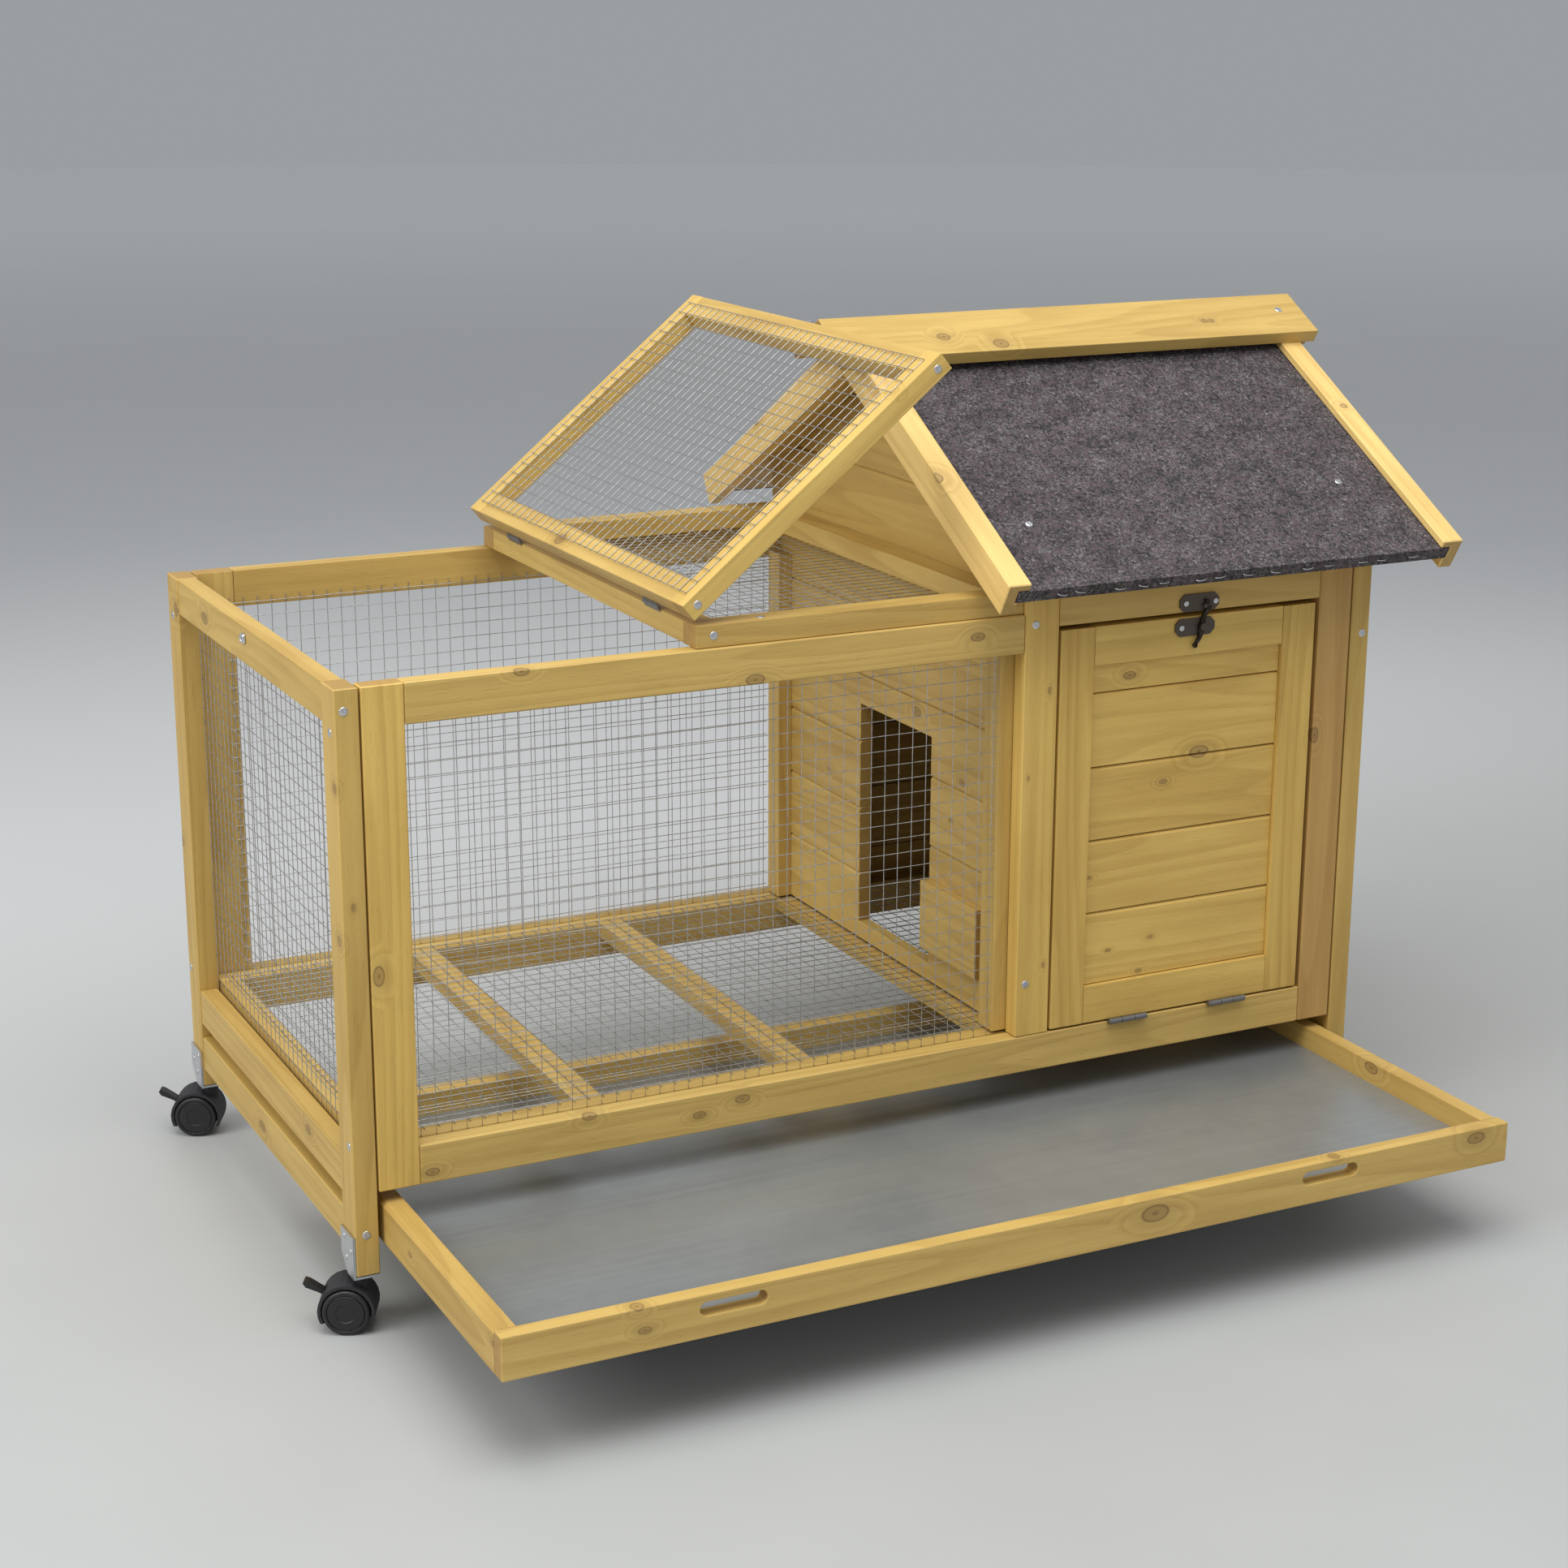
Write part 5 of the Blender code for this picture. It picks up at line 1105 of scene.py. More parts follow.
def make_cap():
    """Two boards and the end block."""
    low, high = span("ridge_cap")
    seat, top = CAP_SEAT, CAP_SEAT - CAP_THICKNESS
    work = Joinery("cap_planks")
    for side, shy, fir in ((1, 0, FIR_CAP), (-1, BACK_SHY, FIR_X)):
        board = [on_slope(CAP_WIDTH, seat, side), on_slope(CAP_WIDTH, top, side),
                 on_ridge(top), on_ridge(seat)]
        work.board(board, "X", low.x + shy, high.x - shy, fir)
    lower = CAP_WIDTH - BLOCK_INSET
    middle = seat - CAP_THICKNESS * 0.2
    block = [
        on_slope(lower, middle, 1), on_ridge(middle), on_slope(lower, middle, -1),
        on_slope(lower, BLOCK_DEPTH / 2, -1), on_slope(lower - BLOCK_INSET, BLOCK_DEPTH, -1),
        on_ridge(BLOCK_DEPTH),
        on_slope(lower - BLOCK_INSET, BLOCK_DEPTH, 1), on_slope(lower, BLOCK_DEPTH / 2, 1),
    ]
    trim = span("right_verge_trim")[1].x
    work.board(block, "X", trim + BLOCK_GAP, high.x - BLOCK_SHY, FIR_Y)
    work.finish("coop", "ridge_cap")


make_cap()

# %% [markdown]
# Welded wire. Each net is two layers of straight galvanised wires at half an inch, one layer
# lying on the other, with cut ends a few millimetres past the last crossing. That follows a
# rule, so Geometry Nodes draw it: a line of points, a straight curve on each, a small wave,
# and a round section. One tree serves all six nets.

# %% Net tree
CELL = 12.7 * MM
WIRE_RADIUS = 0.36 * MM
WIRE_WAVE = 0.7 * MM
WIRE_SIDES = 6
WAVE_SCALE = 22.0
GEOMETRY = "NodeSocketGeometry"


class NodeTree:
    """A Geometry Nodes tree with named numbers as its inputs."""

    def __init__(self, name, inputs):
        self.tree = bpy.data.node_groups.new(name, "GeometryNodeTree")
        self.keys = {}
        self.tree.interface.new_socket("Geometry", in_out="OUTPUT", socket_type=GEOMETRY)
        number = {"in_out": "INPUT", "socket_type": "NodeSocketFloat"}
        for label in inputs:
            self.keys[label] = self.tree.interface.new_socket(label, **number).identifier
        self.source = self.tree.nodes.new("NodeGroupInput")
        self.sink = self.tree.nodes.new("NodeGroupOutput")

    def value(self, label):
        """The socket of a named input."""
        return next(s for s in self.source.outputs if s.identifier == self.keys[label])

    def node(self, kind, settings=None, values=None, output=0):
        """Add a node and feed its sockets with values or links."""
        node = self.tree.nodes.new(kind)
        for key, value in (settings or {}).items():
            setattr(node, key, value)
        for key, value in (values or {}).items():
            socket = node.inputs[key]
            if isinstance(value, bpy.types.NodeSocket):
                self.tree.links.new(value, socket)
            else:
                socket.default_value = value
        return node.outputs[output]

    def math(self, operation, first, second=0.0):
        """A Math node on two values."""
        return self.node("ShaderNodeMath", {"operation": operation}, {0: first, 1: second})

    def times(self, first, second):
        """The product of two values."""
        return self.math("MULTIPLY", first, second)

    def vector(self, parts):
        """A vector from the parts that are not nought, by their index."""
        return self.node("ShaderNodeCombineXYZ", None, parts)

    def finish(self, geometry, material, chosen=True):
        """End the tree in real geometry, and give the chosen faces their material."""
        real = self.node("GeometryNodeRealizeInstances", None, {0: geometry})
        values = {"Geometry": real, "Selection": chosen, "Material": material}
        done = self.node("GeometryNodeSetMaterial", None, values)
        self.tree.links.new(done, self.sink.inputs[0])

    def grow(self, name, settings, source=None):
        """Run the tree on an empty or given mesh and return a plain mesh."""
        holder = bpy.data.objects.new(name, source or bpy.data.meshes.new(name))
        bpy.context.scene.collection.objects.link(holder)
        modifier = holder.modifiers.new(name, "NODES")
        modifier.node_group = self.tree
        for label, value in settings.items():
            modifier[self.keys[label]] = value
        graph = bpy.context.evaluated_depsgraph_get()
        graph.update()
        mesh = bpy.data.meshes.new_from_object(holder.evaluated_get(graph))
        bpy.data.objects.remove(holder)
        mesh.name = name
        return mesh


def lay_wires(net, turn, across, length):
    """One layer: straight rods at every cell across the net, turned along X or Y."""
    cell, wire = net.value("Cell"), net.value("Wire")
    gaps = net.math("FLOOR", net.math("DIVIDE", net.math("SUBTRACT", across, wire), cell))
    margin = net.math("DIVIDE", net.math("SUBTRACT", across, net.times(gaps, cell)), 2.0)
    first = net.vector({turn: margin, 2: net.times(wire, 1.0 if turn else -1.0)})
    line = net.node("GeometryNodeMeshLine", None, {
        "Count": net.math("ADD", gaps, 1.0), "Start Location": first,
        "Offset": net.vector({turn: cell})})
    rod = net.node("GeometryNodeCurvePrimitiveLine", None, {"End": net.vector({1 - turn: length})})
    rods = net.node("GeometryNodeInstanceOnPoints", None, {"Points": line, "Instance": rod})
    rods = net.node("GeometryNodeRealizeInstances", None, {0: rods})
    beads = net.math("ADD", net.math("DIVIDE", length, cell), 1.0)
    return net.node("GeometryNodeResampleCurve", None, {"Curve": rods, "Count": beads})


def wave(net, turn, rods):
    """Push the rods a little sideways by noise, as handled wire is never quite straight."""
    seed = net.value("Seed")
    where = net.node("GeometryNodeInputPosition")
    moved = net.node("ShaderNodeVectorMath", {"operation": "ADD"},
                     {0: where, 1: net.vector({0: seed, 1: seed, 2: float(turn)})})
    noise = {"Vector": moved, "Scale": WAVE_SCALE, "Detail": 1.0}
    stir = net.node("ShaderNodeTexNoise", None, noise, output=1)
    middle = (0.5, 0.5, 0.5)
    stir = net.node("ShaderNodeVectorMath", {"operation": "SUBTRACT"}, {0: stir, 1: middle})
    reach = net.vector({turn: net.value("Wave")})
    stir = net.node("ShaderNodeVectorMath", {"operation": "MULTIPLY"}, {0: stir, 1: reach})
    return net.node("GeometryNodeSetPosition", None, {"Geometry": rods, "Offset": stir})


def build_net_tree():
    """A flat net in the XY plane from the origin, its wires centred on Z nought."""
    net = NodeTree("welded net", ("Width", "Height", "Cell", "Wire", "Wave", "Seed"))
    width, height = net.value("Width"), net.value("Height")
    joined = net.tree.nodes.new("GeometryNodeJoinGeometry")
    for turn, (across, length) in enumerate(((width, height), (height, width))):
        rods = wave(net, turn, lay_wires(net, turn, across, length))
        section = net.node("GeometryNodeCurvePrimitiveCircle", None,
                           {"Resolution": WIRE_SIDES, "Radius": net.value("Wire")})
        bars = net.node("GeometryNodeCurveToMesh", None,
                        {"Curve": rods, "Profile Curve": section, "Fill Caps": True})
        net.tree.links.new(bars, joined.inputs[0])
    net.finish(joined.outputs[0], WIRE)
    return net


NET = build_net_tree()
print("net tree nodes", len(NET.tree.nodes))

# %% [markdown]
# Hanging the nets. The tree draws a net flat on its back, so each one is stood up by three
# axes: along its width, along its height and out of its face.

# %% Hang the nets
NET_AXES = {"X": (Y_AXIS, Z_AXIS, X_AXIS), "Y": (X_AXIS, Z_AXIS, -Y_AXIS),
            "Z": (X_AXIS, Y_AXIS, Z_AXIS)}


def hang_net(node, axis, low, high):
    """Fill the box of a net node with real wires, square to an axis."""
    size = high - low
    first, second, third = PLANES[axis]
    corner = low.copy()
    corner[third] = ((low + high) / 2)[third]
    settings = {"Width": size[first], "Height": size[second], "Cell": CELL, "Wire": WIRE_RADIUS,
                "Wave": WIRE_WAVE, "Seed": float(len(node))}
    mesh = NET.grow(node.replace("_net", "_wire"), settings)
    mesh.transform(Matrix.Translation(corner) @ Matrix(NET_AXES[axis]).transposed().to_4x4())
    mesh.shade_smooth()
    print(node, "wires", round(size[first] / CELL), "by", round(size[second] / CELL),
          "faces", len(mesh.polygons))
    return mesh


for node, axis in (("front_net", "Y"), ("back_net", "Y"), ("end_net", "X"), ("floor_net", "Z"),
                   ("top_net", "Z")):
    wires = hang_net(node, axis, *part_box(node))
    add_piece(node.replace("_net", "_wire"), wires, "coop", (node,))

# %% [markdown]
# The lid stands open at rest, so its net is drawn as if the lid were shut, where it lies
# level, and then turned about the hinge by the same angle as the lid.

# %% Lid net
lid_wire = hang_net("lid_net", "Z", *shut_box("lid_net"))
lid_wire.transform(LID_TURN)
add_piece("lid_wire", lid_wire, "lid", ("lid_net",))

# %% [markdown]
# Screws and staples. The coop is screwed and stapled together, and every head shows. They
# repeat, so Geometry Nodes place them: a cloud of points carries the way that each one faces
# and the way that it lies, and one small head is copied onto all of them. A screw head is a
# flattened ball with a cross cut into it. The cross keeps a dark, dull material of its own:
# painted shade, for the shadow deep in the real recess, which is deeper than a shallow head
# has room for. A staple's crown is a bent wire.

# %% Fastener trees
SCREW_RADIUS = 3.5 * MM
SCREW_DOME = 0.26
CROSS_LENGTH = 1.4
CROSS_WIDTH = 0.46
CROSS_FLOOR = 0.03
STAPLE_LENGTH = 10.0 * MM
STAPLE_RADIUS = 0.45 * MM
STAPLE_SINK = 2.0
STAPLE_RISE = 3.2
STAPLE_BEND = 0.45


def turned_points(tree, head):
    """Copy a head onto the points, turned by their facing and lying attributes."""
    geometry = tree.tree.interface.new_socket("Points", in_out="INPUT", socket_type=GEOMETRY)
    tree.tree.interface.move(geometry, 0)
    cloud = next(s for s in tree.source.outputs if s.identifier == geometry.identifier)
    vector = {"data_type": "FLOAT_VECTOR"}
    facing = tree.node("GeometryNodeInputNamedAttribute", vector, {"Name": "facing"})
    lying = tree.node("GeometryNodeInputNamedAttribute", vector, {"Name": "lying"})
    axes = {"primary_axis": "Z", "secondary_axis": "X"}
    turn = tree.node("FunctionNodeAxesToRotation", axes, {0: facing, 1: lying})
    values = {"Points": cloud, "Instance": head, "Rotation": turn}
    return tree.node("GeometryNodeInstanceOnPoints", None, values)


def build_screw_tree(material, recess):
    """Round heads with a cross in a dark material of its own, which is painted shade."""
    tree = NodeTree("screw heads", ("Radius", "Dome"))
    radius = tree.value("Radius")
    flat = tree.vector({0: radius, 1: radius, 2: tree.times(radius, tree.value("Dome"))})
    ball = tree.node("GeometryNodeMeshUVSphere", None, {"Segments": 24, "Rings": 12, "Radius": 1.0})
    dome = tree.node("GeometryNodeTransform", None, {"Geometry": ball, "Scale": flat})
    bars = tree.tree.nodes.new("GeometryNodeJoinGeometry")
    lift = tree.vector({2: tree.times(radius, 0.5 + CROSS_FLOOR)})
    for long_axis in (0, 1):
        size = tree.vector({long_axis: tree.times(radius, CROSS_LENGTH),
                            1 - long_axis: tree.times(radius, CROSS_WIDTH), 2: radius})
        bar = tree.node("GeometryNodeMeshCube", None, {"Size": size})
        bar = tree.node("GeometryNodeTransform", None, {"Geometry": bar, "Translation": lift})
        tree.tree.links.new(bar, bars.inputs[0])
    # The cross bars carry the painted shade of the recess.
    dark = tree.node("GeometryNodeSetMaterial", None,
                     {"Geometry": bars.outputs[0], "Material": recess})
    cut = {"operation": "DIFFERENCE"}
    head = tree.node("GeometryNodeMeshBoolean", cut, {"Mesh 1": dome, "Mesh 2": dark})
    cross = tree.node("GeometryNodeMaterialSelection", None, {"Material": recess})
    rest = tree.node("FunctionNodeBooleanMath", {"operation": "NOT"}, {0: cross})
    tree.finish(turned_points(tree, head), material, rest)
    return tree


def build_staple_tree(material):
    """Bent wire crowns."""
    tree = NodeTree("staple crowns", ("Length", "Wire"))
    length, wire = tree.value("Length"), tree.value("Wire")
    sunk, rise = tree.times(wire, -STAPLE_SINK), tree.times(wire, STAPLE_RISE)
    ends = [tree.vector({0: tree.times(length, side * 0.5), 2: sunk}) for side in (-1, 1)]
    bends = [tree.vector({0: tree.times(length, side * STAPLE_BEND), 2: rise})
             for side in (-1, 1)]
    crown = tree.node("GeometryNodeCurvePrimitiveBezierSegment", None, {
        "Resolution": 7, "Start": ends[0], "Start Handle": bends[0],
        "End Handle": bends[1], "End": ends[1]})
    section = tree.node("GeometryNodeCurvePrimitiveCircle", None,
                        {"Resolution": 5, "Radius": wire})
    bent = tree.node("GeometryNodeCurveToMesh", None,
                     {"Curve": crown, "Profile Curve": section, "Fill Caps": True})
    tree.finish(turned_points(tree, bent), material)
    return tree


def point_cloud(name, places):
    """Points from (spot in millimetres, way it faces, way it lies)."""
    data = bpy.data.meshes.new(name)
    data.from_pydata([at(*place[0]) for place in places], [], [])
    for label, index in (("facing", 1), ("lying", 2)):
        layer = data.attributes.new(label, "FLOAT_VECTOR", "POINT")
        for item, place in zip(layer.data, places):
            item.vector = Vector(place[index]).normalized()
    return data


def fasten(tree, name, body, settings, places):
    """One piece of fasteners on one body."""
    mesh = tree.grow(name, settings, point_cloud(name, places))
    for label in ("facing", "lying"):
        if label in mesh.attributes:
            mesh.attributes.remove(mesh.attributes[label])
    for index in reversed(range(len(mesh.materials))):
        if mesh.materials[index] is None:
            mesh.materials.pop(index=index)
    mesh.shade_smooth()
    print(name, "fasteners", len(places), "faces", len(mesh.polygons))
    return add_piece(name, mesh, body)


SCREWS = build_screw_tree(ZINC, RECESS_SHADE)
STAPLES = build_staple_tree(ZINC)
print("fastener tree nodes", len(SCREWS.tree.nodes), len(STAPLES.tree.nodes))

# %% [markdown]
# Screw places. The screws of the front and the left end were read off the photograph. The
# back and the right end repeat them, as a coop is put together with one kind of screw all
# round. Each head's cross lies at a random turn, because nobody lines them up.

# %% Screws
FRONT = (0, -1, 0)
BACK = (0, 1, 0)
LEFT = (-1, 0, 0)
RIGHT = (1, 0, 0)
UP = (0, 0, 1)
CORNERS = ("front_left", "back_left", "front_right", "back_right")
CORNER_SCREWS = ((7.2, 451.3), (9.1, 34.1))
RIGHT_CORNER_SCREWS = ((7.2, 420), (9.1, 34.1))
END_SCREWS = ((12.7, 433.1), (7.1, 106.7))
FRONT_EXTRA = ((597.4, 459.2), (596.4, 147.1))
BACK_EXTRA = ((604, 459.2), (604, 147.1), (900, 420), (900, 147.1))
FELT_SCREWS = ((599.0, 18.1), (920.7, 33.4))
CAP_SCREW = (980.4, 215.1)
LID_SCREW_INSET = 10
BRACKET_SCREWS = ((7.5, 27.0), (-8.5, 19.5), (3.0, 10.5))
DICE = random.Random(11)


def lie(facing):
    """A random direction along the face."""
    face = Vector(facing)
    helper = Z_AXIS if abs(face.z) < 0.9 else X_AXIS
    first = face.cross(helper).normalized()
    second = face.cross(first)
    angle = DICE.random() * math.tau
    return first * math.cos(angle) + second * math.sin(angle)


def heads(facing, *spots):
    """Screw places that all face one way."""
    return [(spot, facing, lie(facing)) for spot in spots]


def coop_screws():
    """Every zinc screw that stays with the coop's body."""
    places = []
    right = span("leg_front_right")[1].x
    depth = span("leg_back_left")[1].y
    top_low, top_high = span("top_frame")
    slope = (0, -math.sin(PITCH), math.cos(PITCH))
    back_slope = (0, math.sin(PITCH), math.cos(PITCH))
    for face, y, extra in ((FRONT, 0, FRONT_EXTRA), (BACK, depth, BACK_EXTRA)):
        mirrored = ((right - x, z) for x, z in RIGHT_CORNER_SCREWS)
        places += heads(face, *((x, y, z) for x, z in (*CORNER_SCREWS, *mirrored, *extra)))
    for face, x in ((LEFT, 0), (RIGHT, right)):
        mirrored = ((depth - y, z) for y, z in END_SCREWS)
        places += heads(face, *((x, y, z) for y, z in (*END_SCREWS, *mirrored)))
    places += heads(FRONT, (307.7, top_low.y, 478.1)) + heads(BACK, (307.7, top_high.y, 478.1))
    places += heads(UP, (352.5, 12.7, top_high.z), (352.5, depth - 12.7, top_high.z))
    felt_apex = span("roof_felt")[1].z
    for x, y in FELT_SCREWS:
        height = felt_apex - (RIDGE - y) * math.tan(PITCH)
        places += heads(slope, (x, y, height))
        places += heads(back_slope, (x, 2 * RIDGE - y, height))
    cap_apex = span("ridge_cap")[1].z
    x, front = CAP_SCREW
    for y, face in ((front, slope), (2 * RIDGE - front, back_slope)):
        places += heads(face, (x, y, cap_apex - abs(RIDGE - y) * math.tan(PITCH)))
    return places


def lid_screws():
    """The lid's screws, placed while it is shut and turned with it."""
    low, high = (local(corner) for corner in shut_box("lid_frame"))
    level = (low.z + high.z) / 2
    places = []
    for y, facing in ((low.y, FRONT), (high.y, BACK)):
        for x in (low.x + LID_SCREW_INSET, high.x - LID_SCREW_INSET):
            moved = local(LID_TURN @ at(x, y, level))
            places.append((moved, facing, LID_TURN.to_3x3() @ lie(facing)))
    return places


def bracket_screws():
    """Three small screws on each caster plate."""
    places = []
    for corner in CORNERS:
        low, high = span(f"caster_bracket_{corner}")
        outside, facing = (low.x, LEFT) if corner.endswith("left") else (high.x, RIGHT)
        side = 1 if corner.startswith("front") else -1
        middle = (low.y + high.y) / 2
        for shift, height in BRACKET_SCREWS:
            places.append(((outside, middle + side * shift, height), facing, lie(facing)))
    return places


HEAD = {"Radius": SCREW_RADIUS, "Dome": SCREW_DOME}
SMALL_HEAD = {"Radius": 2.4 * MM, "Dome": 0.34}
fasten(SCREWS, "coop_screws", "coop", HEAD, coop_screws())
fasten(SCREWS, "lid_screws", "lid", HEAD, lid_screws())
fasten(SCREWS, "bracket_screws", "coop", SMALL_HEAD, bracket_screws())

# %% [markdown]
# Staples. A row of them holds the felt's turned edge under both eaves, a little crooked, as
# a stapler leaves them.

# %% Staples
EAVE_STAPLES = 14
EAVE_INSET = 14
EAVE_RISE = 4.2
EAVE_SINK = 0.98


def eave_staples():
    """Rows along both eave edges of the felt."""
    low, high = span("roof_felt")
    start = span("left_verge_trim")[1].x + EAVE_INSET
    end = span("right_verge_trim")[0].x - EAVE_INSET
    places = []
    for side in (1, -1):
        facing = (0, -side * math.cos(PITCH), -math.sin(PITCH))
        foot = low.y if side == 1 else high.y
        for i in range(EAVE_STAPLES):
            x = start + (end - start) * (i + 0.2 + DICE.random() * 0.5) / EAVE_STAPLES
            down = Vector((0, side * math.sin(PITCH), -math.cos(PITCH)))
            along = X_AXIS + down * (DICE.random() - 0.45) * 0.35
            rise = EAVE_RISE + DICE.random() * 1.4
            y = foot + side * rise * math.sin(PITCH) * EAVE_SINK
            places.append(((x, y, low.z + rise * math.cos(PITCH)), facing, along))
    return places


CROWN = {"Length": STAPLE_LENGTH, "Wire": STAPLE_RADIUS}
fasten(STAPLES, "eave_staples", "coop", CROWN, eave_staples())

# %% [markdown]
# The lid hinges. When the lid stands open, only the rolls and a narrow strip of each leaf
# show in the gap under it. The rest of the leaves is let into the wood, so the strips are
# drawn narrow here, with the same rolls on the same pin as the model's.

# %% Lid hinges
ROLL_RADIUS = 1.85
LEAF_GAP = 0.15
LEAF_THICKNESS = 0.9
LEAF_STRIP = 1.5
ROLL_STEPS = 20
HINGE_EASED = 0.15


def hinge_parts(low, high, kind, pivot):
    """Outlines in X and Z with their ends along Y for one hinge half."""
    third = (high.y - low.y) / 3
    rolls = [(low.y, low.y + third - LEAF_GAP), (high.y - third + LEAF_GAP, high.y)]
    if kind == "moving":
        rolls = [(low.y + third + LEAF_GAP, high.y - third - LEAF_GAP)]
    side = 1 if kind == "fixed" else -1
    leaf = [pivot.x + side * depth for depth in (LEAF_GAP, LEAF_GAP + LEAF_THICKNESS)]
    near, far = sorted(leaf)
    top = pivot.z - ROLL_RADIUS - LEAF_GAP
    strip = rectangle((near, top - LEAF_STRIP), (far, top))
    neck = rectangle((near, top - LEAF_GAP), (far, pivot.z))
    roll = circle(ROLL_RADIUS, pivot.x, pivot.z, ROLL_STEPS)
    parts = [(strip, low.y, high.y)]
    for start, end in rolls:
        parts += [(roll, start, end), (neck, start, end)]
    return parts


def make_hinges(kind, body):
    """Both hinge halves of one body."""
    work = Joinery(f"hinges_{kind}")
    pivot = local(LID_HINGE)
    nodes = [f"lid_hinge_{end}_{kind}" for end in ("front", "back")]
    for node in nodes:
        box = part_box(node) if kind == "fixed" else shut_box(node)
        for outline, start, end in hinge_parts(*map(local, box), kind, pivot):
            work.board(outline, "Y", start, end, STEEL, HINGE_EASED)
    work.finish(body, *nodes, turn=LID_TURN if kind == "moving" else None, slot="zinc")


make_hinges("fixed", "coop")
make_hinges("moving", "lid")

# %% [markdown]
# Casters. Each wheel of the pair is a moulded disc with a rounded tread, a shallow dish and a
# flat round cap over the axle. A profile spun about the axle gives all of it. The hoods and
# the brake levers keep their solids, which already have the right curves.

# %% Wheels
WHEEL_STEPS = 56
WHEEL_CREASE = math.radians(40)
AXLE_RADIUS = 2.0
TREAD_INNER = 1.6
TREAD_OUTER = 2.2
GROOVE = 3.9
MODEL_FACETS = 20


def spun(profile, steps):
    """A closed surface from (radius, place) points spun about the Y axis."""
    shape = bmesh.new()
    rings = []
    for i in range(steps):
        angle = math.tau * i / steps
        c, s = math.cos(angle), math.sin(angle)
        rings.append([shape.verts.new((r * c * MM, y * MM, r * s * MM)) for r, y in profile])
    for i in range(steps):
        first, second = rings[i], rings[(i + 1) % steps]
        for j in range(len(profile) - 1):
            shape.faces.new((first[j], first[j + 1], second[j + 1], second[j]))
    shape.faces.new([ring[0] for ring in rings])
    shape.faces.new([ring[-1] for ring in rings])
    bmesh.ops.recalc_face_normals(shape, faces=shape.faces)
    return shape


def wheel_profile(radius, inner, outer):
    """Half of the wheel pair, from the axle out and back to the cap."""
    points = [(AXLE_RADIUS, 0.0), (AXLE_RADIUS, inner), (radius - 2.4, inner)]
    for curve, start, steps, place in ((TREAD_INNER, -90, 4, inner + TREAD_INNER),
                                       (TREAD_OUTER, 0, 5, outer - TREAD_OUTER)):
        for i in range(steps + 1):
            angle = math.radians(start + 90 * i / steps)
            points.append((radius - curve + curve * math.cos(angle),
                           place + curve * math.sin(angle)))
    points += [(radius - GROOVE + 0.5, outer - 0.1), (radius - GROOVE, outer - 0.7),
               (radius - GROOVE - 0.5, outer - 0.1)]
    points += [(radius * 0.42, outer), (radius * 0.40, outer - 0.4), (0.6, outer - 0.3)]
    return points


def make_wheels(corner):
    """The wheel pair of one caster."""
    node = f"caster_wheels_{corner}"
    joint = joint_of(f"axle_{corner}")
    centre, axis = Vector(joint["pos_m"]), Vector(joint["axis"]).normalized()
    arms = [vertex.co - centre for vertex in NODES[node].data.vertices]
    places = [arm.dot(axis) / MM for arm in arms]
    radius = max((arm - axis * arm.dot(axis)).length for arm in arms) / MM
    inner = min(abs(place) for place in places if abs(place) > 1)
    half = wheel_profile(radius * math.cos(math.pi / MODEL_FACETS), inner, max(places))
    profile = [(r, -y) for r, y in reversed(half)] + half[1:]
    shape = spun(profile, WHEEL_STEPS)
    turn = Matrix((axis.cross(Z_AXIS), axis, Z_AXIS)).transposed().to_4x4()
    shape.transform(Matrix.Translation(centre) @ turn)
    mesh = bpy.data.meshes.new(f"wheels_{corner}")
    shape.to_mesh(mesh)
    shape.free()
    mesh.materials.append(NYLON)
    mesh.shade_smooth()
    mesh.set_sharp_from_angle(angle=WHEEL_CREASE)
    return add_piece(f"wheels_{corner}", mesh, f"wheels_{corner}", (node,))


for corner in CORNERS:
    wheels = make_wheels(corner)
print("wheel faces", len(wheels.data.polygons))

# %% [markdown]
# The catch of the lid, on the left end. The real one is a square stamped keeper with a turned
# rim round a dark hole. Rings of the same rounded square, each at its own size and depth,
# follow the rim out and back into the hole.

# %% Catch
KEEPER_STEPS = 40
KEEPER_HEIGHT = 0.94
KEEPER_POWER = 4.0


def squircle(size, power, steps):
    """Points of a rounded square of half width size."""
    points = []
    for i in range(steps):
        angle = math.tau * i / steps
        c, s = math.cos(angle), math.sin(angle)
        scale = size / (abs(c) ** power + abs(s) ** power) ** (1 / power)
        points.append((c * scale, s * scale))
    return points


def make_keeper():
    """A square stamped ring with a turned rim."""
    low, high = span("lid_catch_strike")
    middle = (low + high) / 2
    half = (high.y - low.y) / 2
    depth = high.x - low.x
    rows = ((1.0, 0.0), (1.0, 0.7), (0.86, depth * 0.75), (0.70, depth), (0.58, depth * 0.9),
            (0.52, 0.4), (0.52, 0.0))
    shape = bmesh.new()
    rings = []
    for share, out in rows:
        rings.append([shape.verts.new(at(high.x - out, middle.y + y, middle.z + z * KEEPER_HEIGHT))
                      for y, z in squircle(half * share, KEEPER_POWER, KEEPER_STEPS)])
    for first, second in zip(rings, rings[1:] + rings[:1]):
        for i in range(KEEPER_STEPS):
            j = (i + 1) % KEEPER_STEPS
            shape.faces.new((first[i], first[j], second[j], second[i]))
    bmesh.ops.recalc_face_normals(shape, faces=shape.faces)
    mesh = bpy.data.meshes.new("catch_keeper")
    shape.to_mesh(mesh)
    shape.free()
    mesh.materials.append(ZINC)
    mesh.shade_smooth()
    print("catch keeper faces", len(mesh.polygons))
    return add_piece("catch_keeper", mesh, "coop", ("lid_catch_strike",))


make_keeper()

# %% [markdown]
# The hook. The real one is cast: a flat eye on its stud, an arm that bends round the peg,
# and a thin tail that ends in a small ball for the finger. Each limb is a ribbon whose half
# width changes along its path, because a curve with one bevel depth would be the same width
# all along. A Boolean bores the eye, and every edge is well rounded.

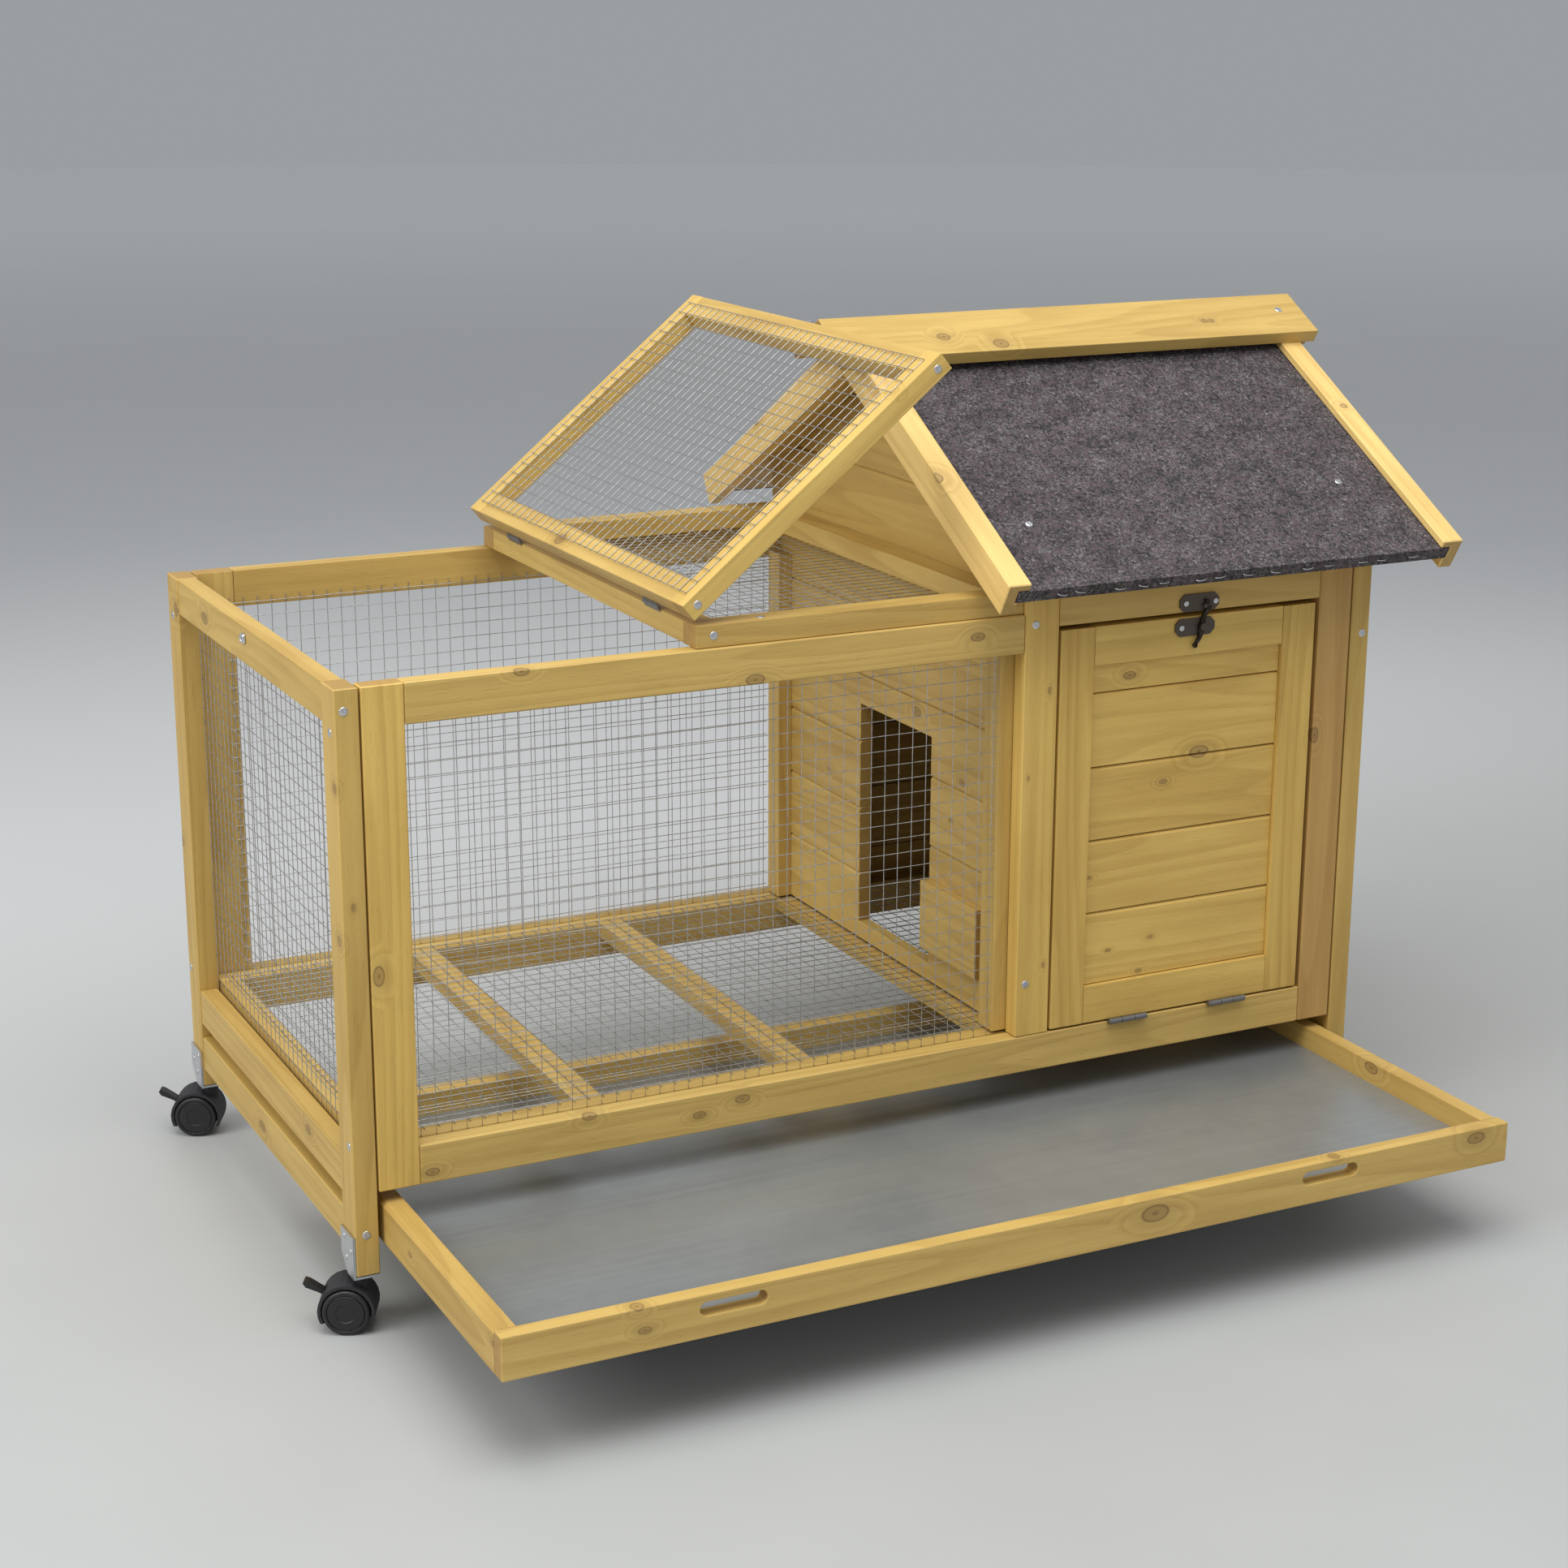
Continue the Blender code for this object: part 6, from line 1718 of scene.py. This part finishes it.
# %% Hook
EYE_RADIUS = 4.0
EYE_BORE = 2.3
EYE_STEPS = 32
HOOK_EASED = 0.6
HOOK_SHARP = 0.6
PEG = (2.1, 17.8)
PEG_REACH = 4.4
ARM = ((0.5, 2.9, 2.6), (0.9, 6.0, 2.3), (1.7, 9.4, 2.1), (2.9, 12.0, 1.9))
TAIL = ((-0.6, -2.8, 2.6), (-1.4, -6.0, 2.2), (-2.6, -9.2, 1.9), (-4.2, -12.0, 1.6),
        (-5.9, -14.2, 1.4), (-6.6, -15.9, 1.4))
BALL = (2.2, -6.6, -15.8)


def ribbon(path):
    """Outline of a limb from (across, up, half width) points."""
    left, right = [], []
    for i, (x, z, half) in enumerate(path):
        before, after = path[max(i - 1, 0)], path[min(i + 1, len(path) - 1)]
        way = Vector((after[0] - before[0], after[1] - before[1])).normalized() * half
        left.append((x - way.y, z + way.x))
        right.append((x + way.y, z - way.x))
    return left + right[::-1]


def bend():
    """The end of the arm, round the peg from below to above."""
    turns = [math.radians(angle) for angle in range(-60, 91, 15)]
    halves = [1.8] * (len(turns) - 2) + [1.6, 1.1]
    x, z = PEG
    return tuple((x + PEG_REACH * math.cos(turn), z + PEG_REACH * math.sin(turn), half)
                 for turn, half in zip(turns, halves))


def make_hook():
    """Eye, arm, tail and ball of the door's hook."""
    low, high = span("hasp_hook")
    stud = local(Vector(joint_of("hook_turn")["pos_m"]))
    work = Joinery("hook_cast")

    def limb(outline, past=0):
        """Extrude an outline about the stud through the hook's thickness."""
        placed = [(stud.x + x, stud.z + z) for x, z in outline]
        return extrude(placed, "Y", low.y - past, high.y + past)

    bore = limb(circle(EYE_BORE, 0, 0, EYE_STEPS), 1)
    eye = pierce(limb(circle(EYE_RADIUS, 0, 0, EYE_STEPS)), bore)
    ball = limb(circle(*BALL, EYE_STEPS))
    for part in (eye, limb(ribbon(ARM + bend())), limb(ribbon(TAIL)), ball):
        work.add(soften(part, HOOK_EASED, 2, HOOK_SHARP), BRONZE)
    work.finish("hook", "hasp_hook", slot="bronze")


make_hook()

# %% [markdown]
# The fastener's two plates are stamped, and keep their solids, whose outlines are right. The
# header plate gets two small domed screws. The door plate gets one, because the hook covers
# its other end. They grow from the same tree as the other screws, with a smaller radius and
# a higher dome.

# %% Plate screws
PLATE_INSETS = (6.2, 3.6)
PLATE_FACE = 1.5


def plate_screws(node):
    """Two screws on one plate of the fastener."""
    low, high = span(node)
    y, z = high.y - PLATE_FACE, (low.z + high.z) / 2
    return heads(FRONT, (low.x + PLATE_INSETS[0], y, z), (high.x - PLATE_INSETS[1], y, z))


PLATE_HEAD = {"Radius": 2.6 * MM, "Dome": 0.40}
fasten(SCREWS, "header_plate_screws", "coop", PLATE_HEAD, plate_screws("hasp_header_plate"))
fasten(SCREWS, "door_plate_screws", "door", PLATE_HEAD, plate_screws("hasp_door_plate")[:1])

# %% [markdown]
# The dressed part has to stay inside the box of the model.
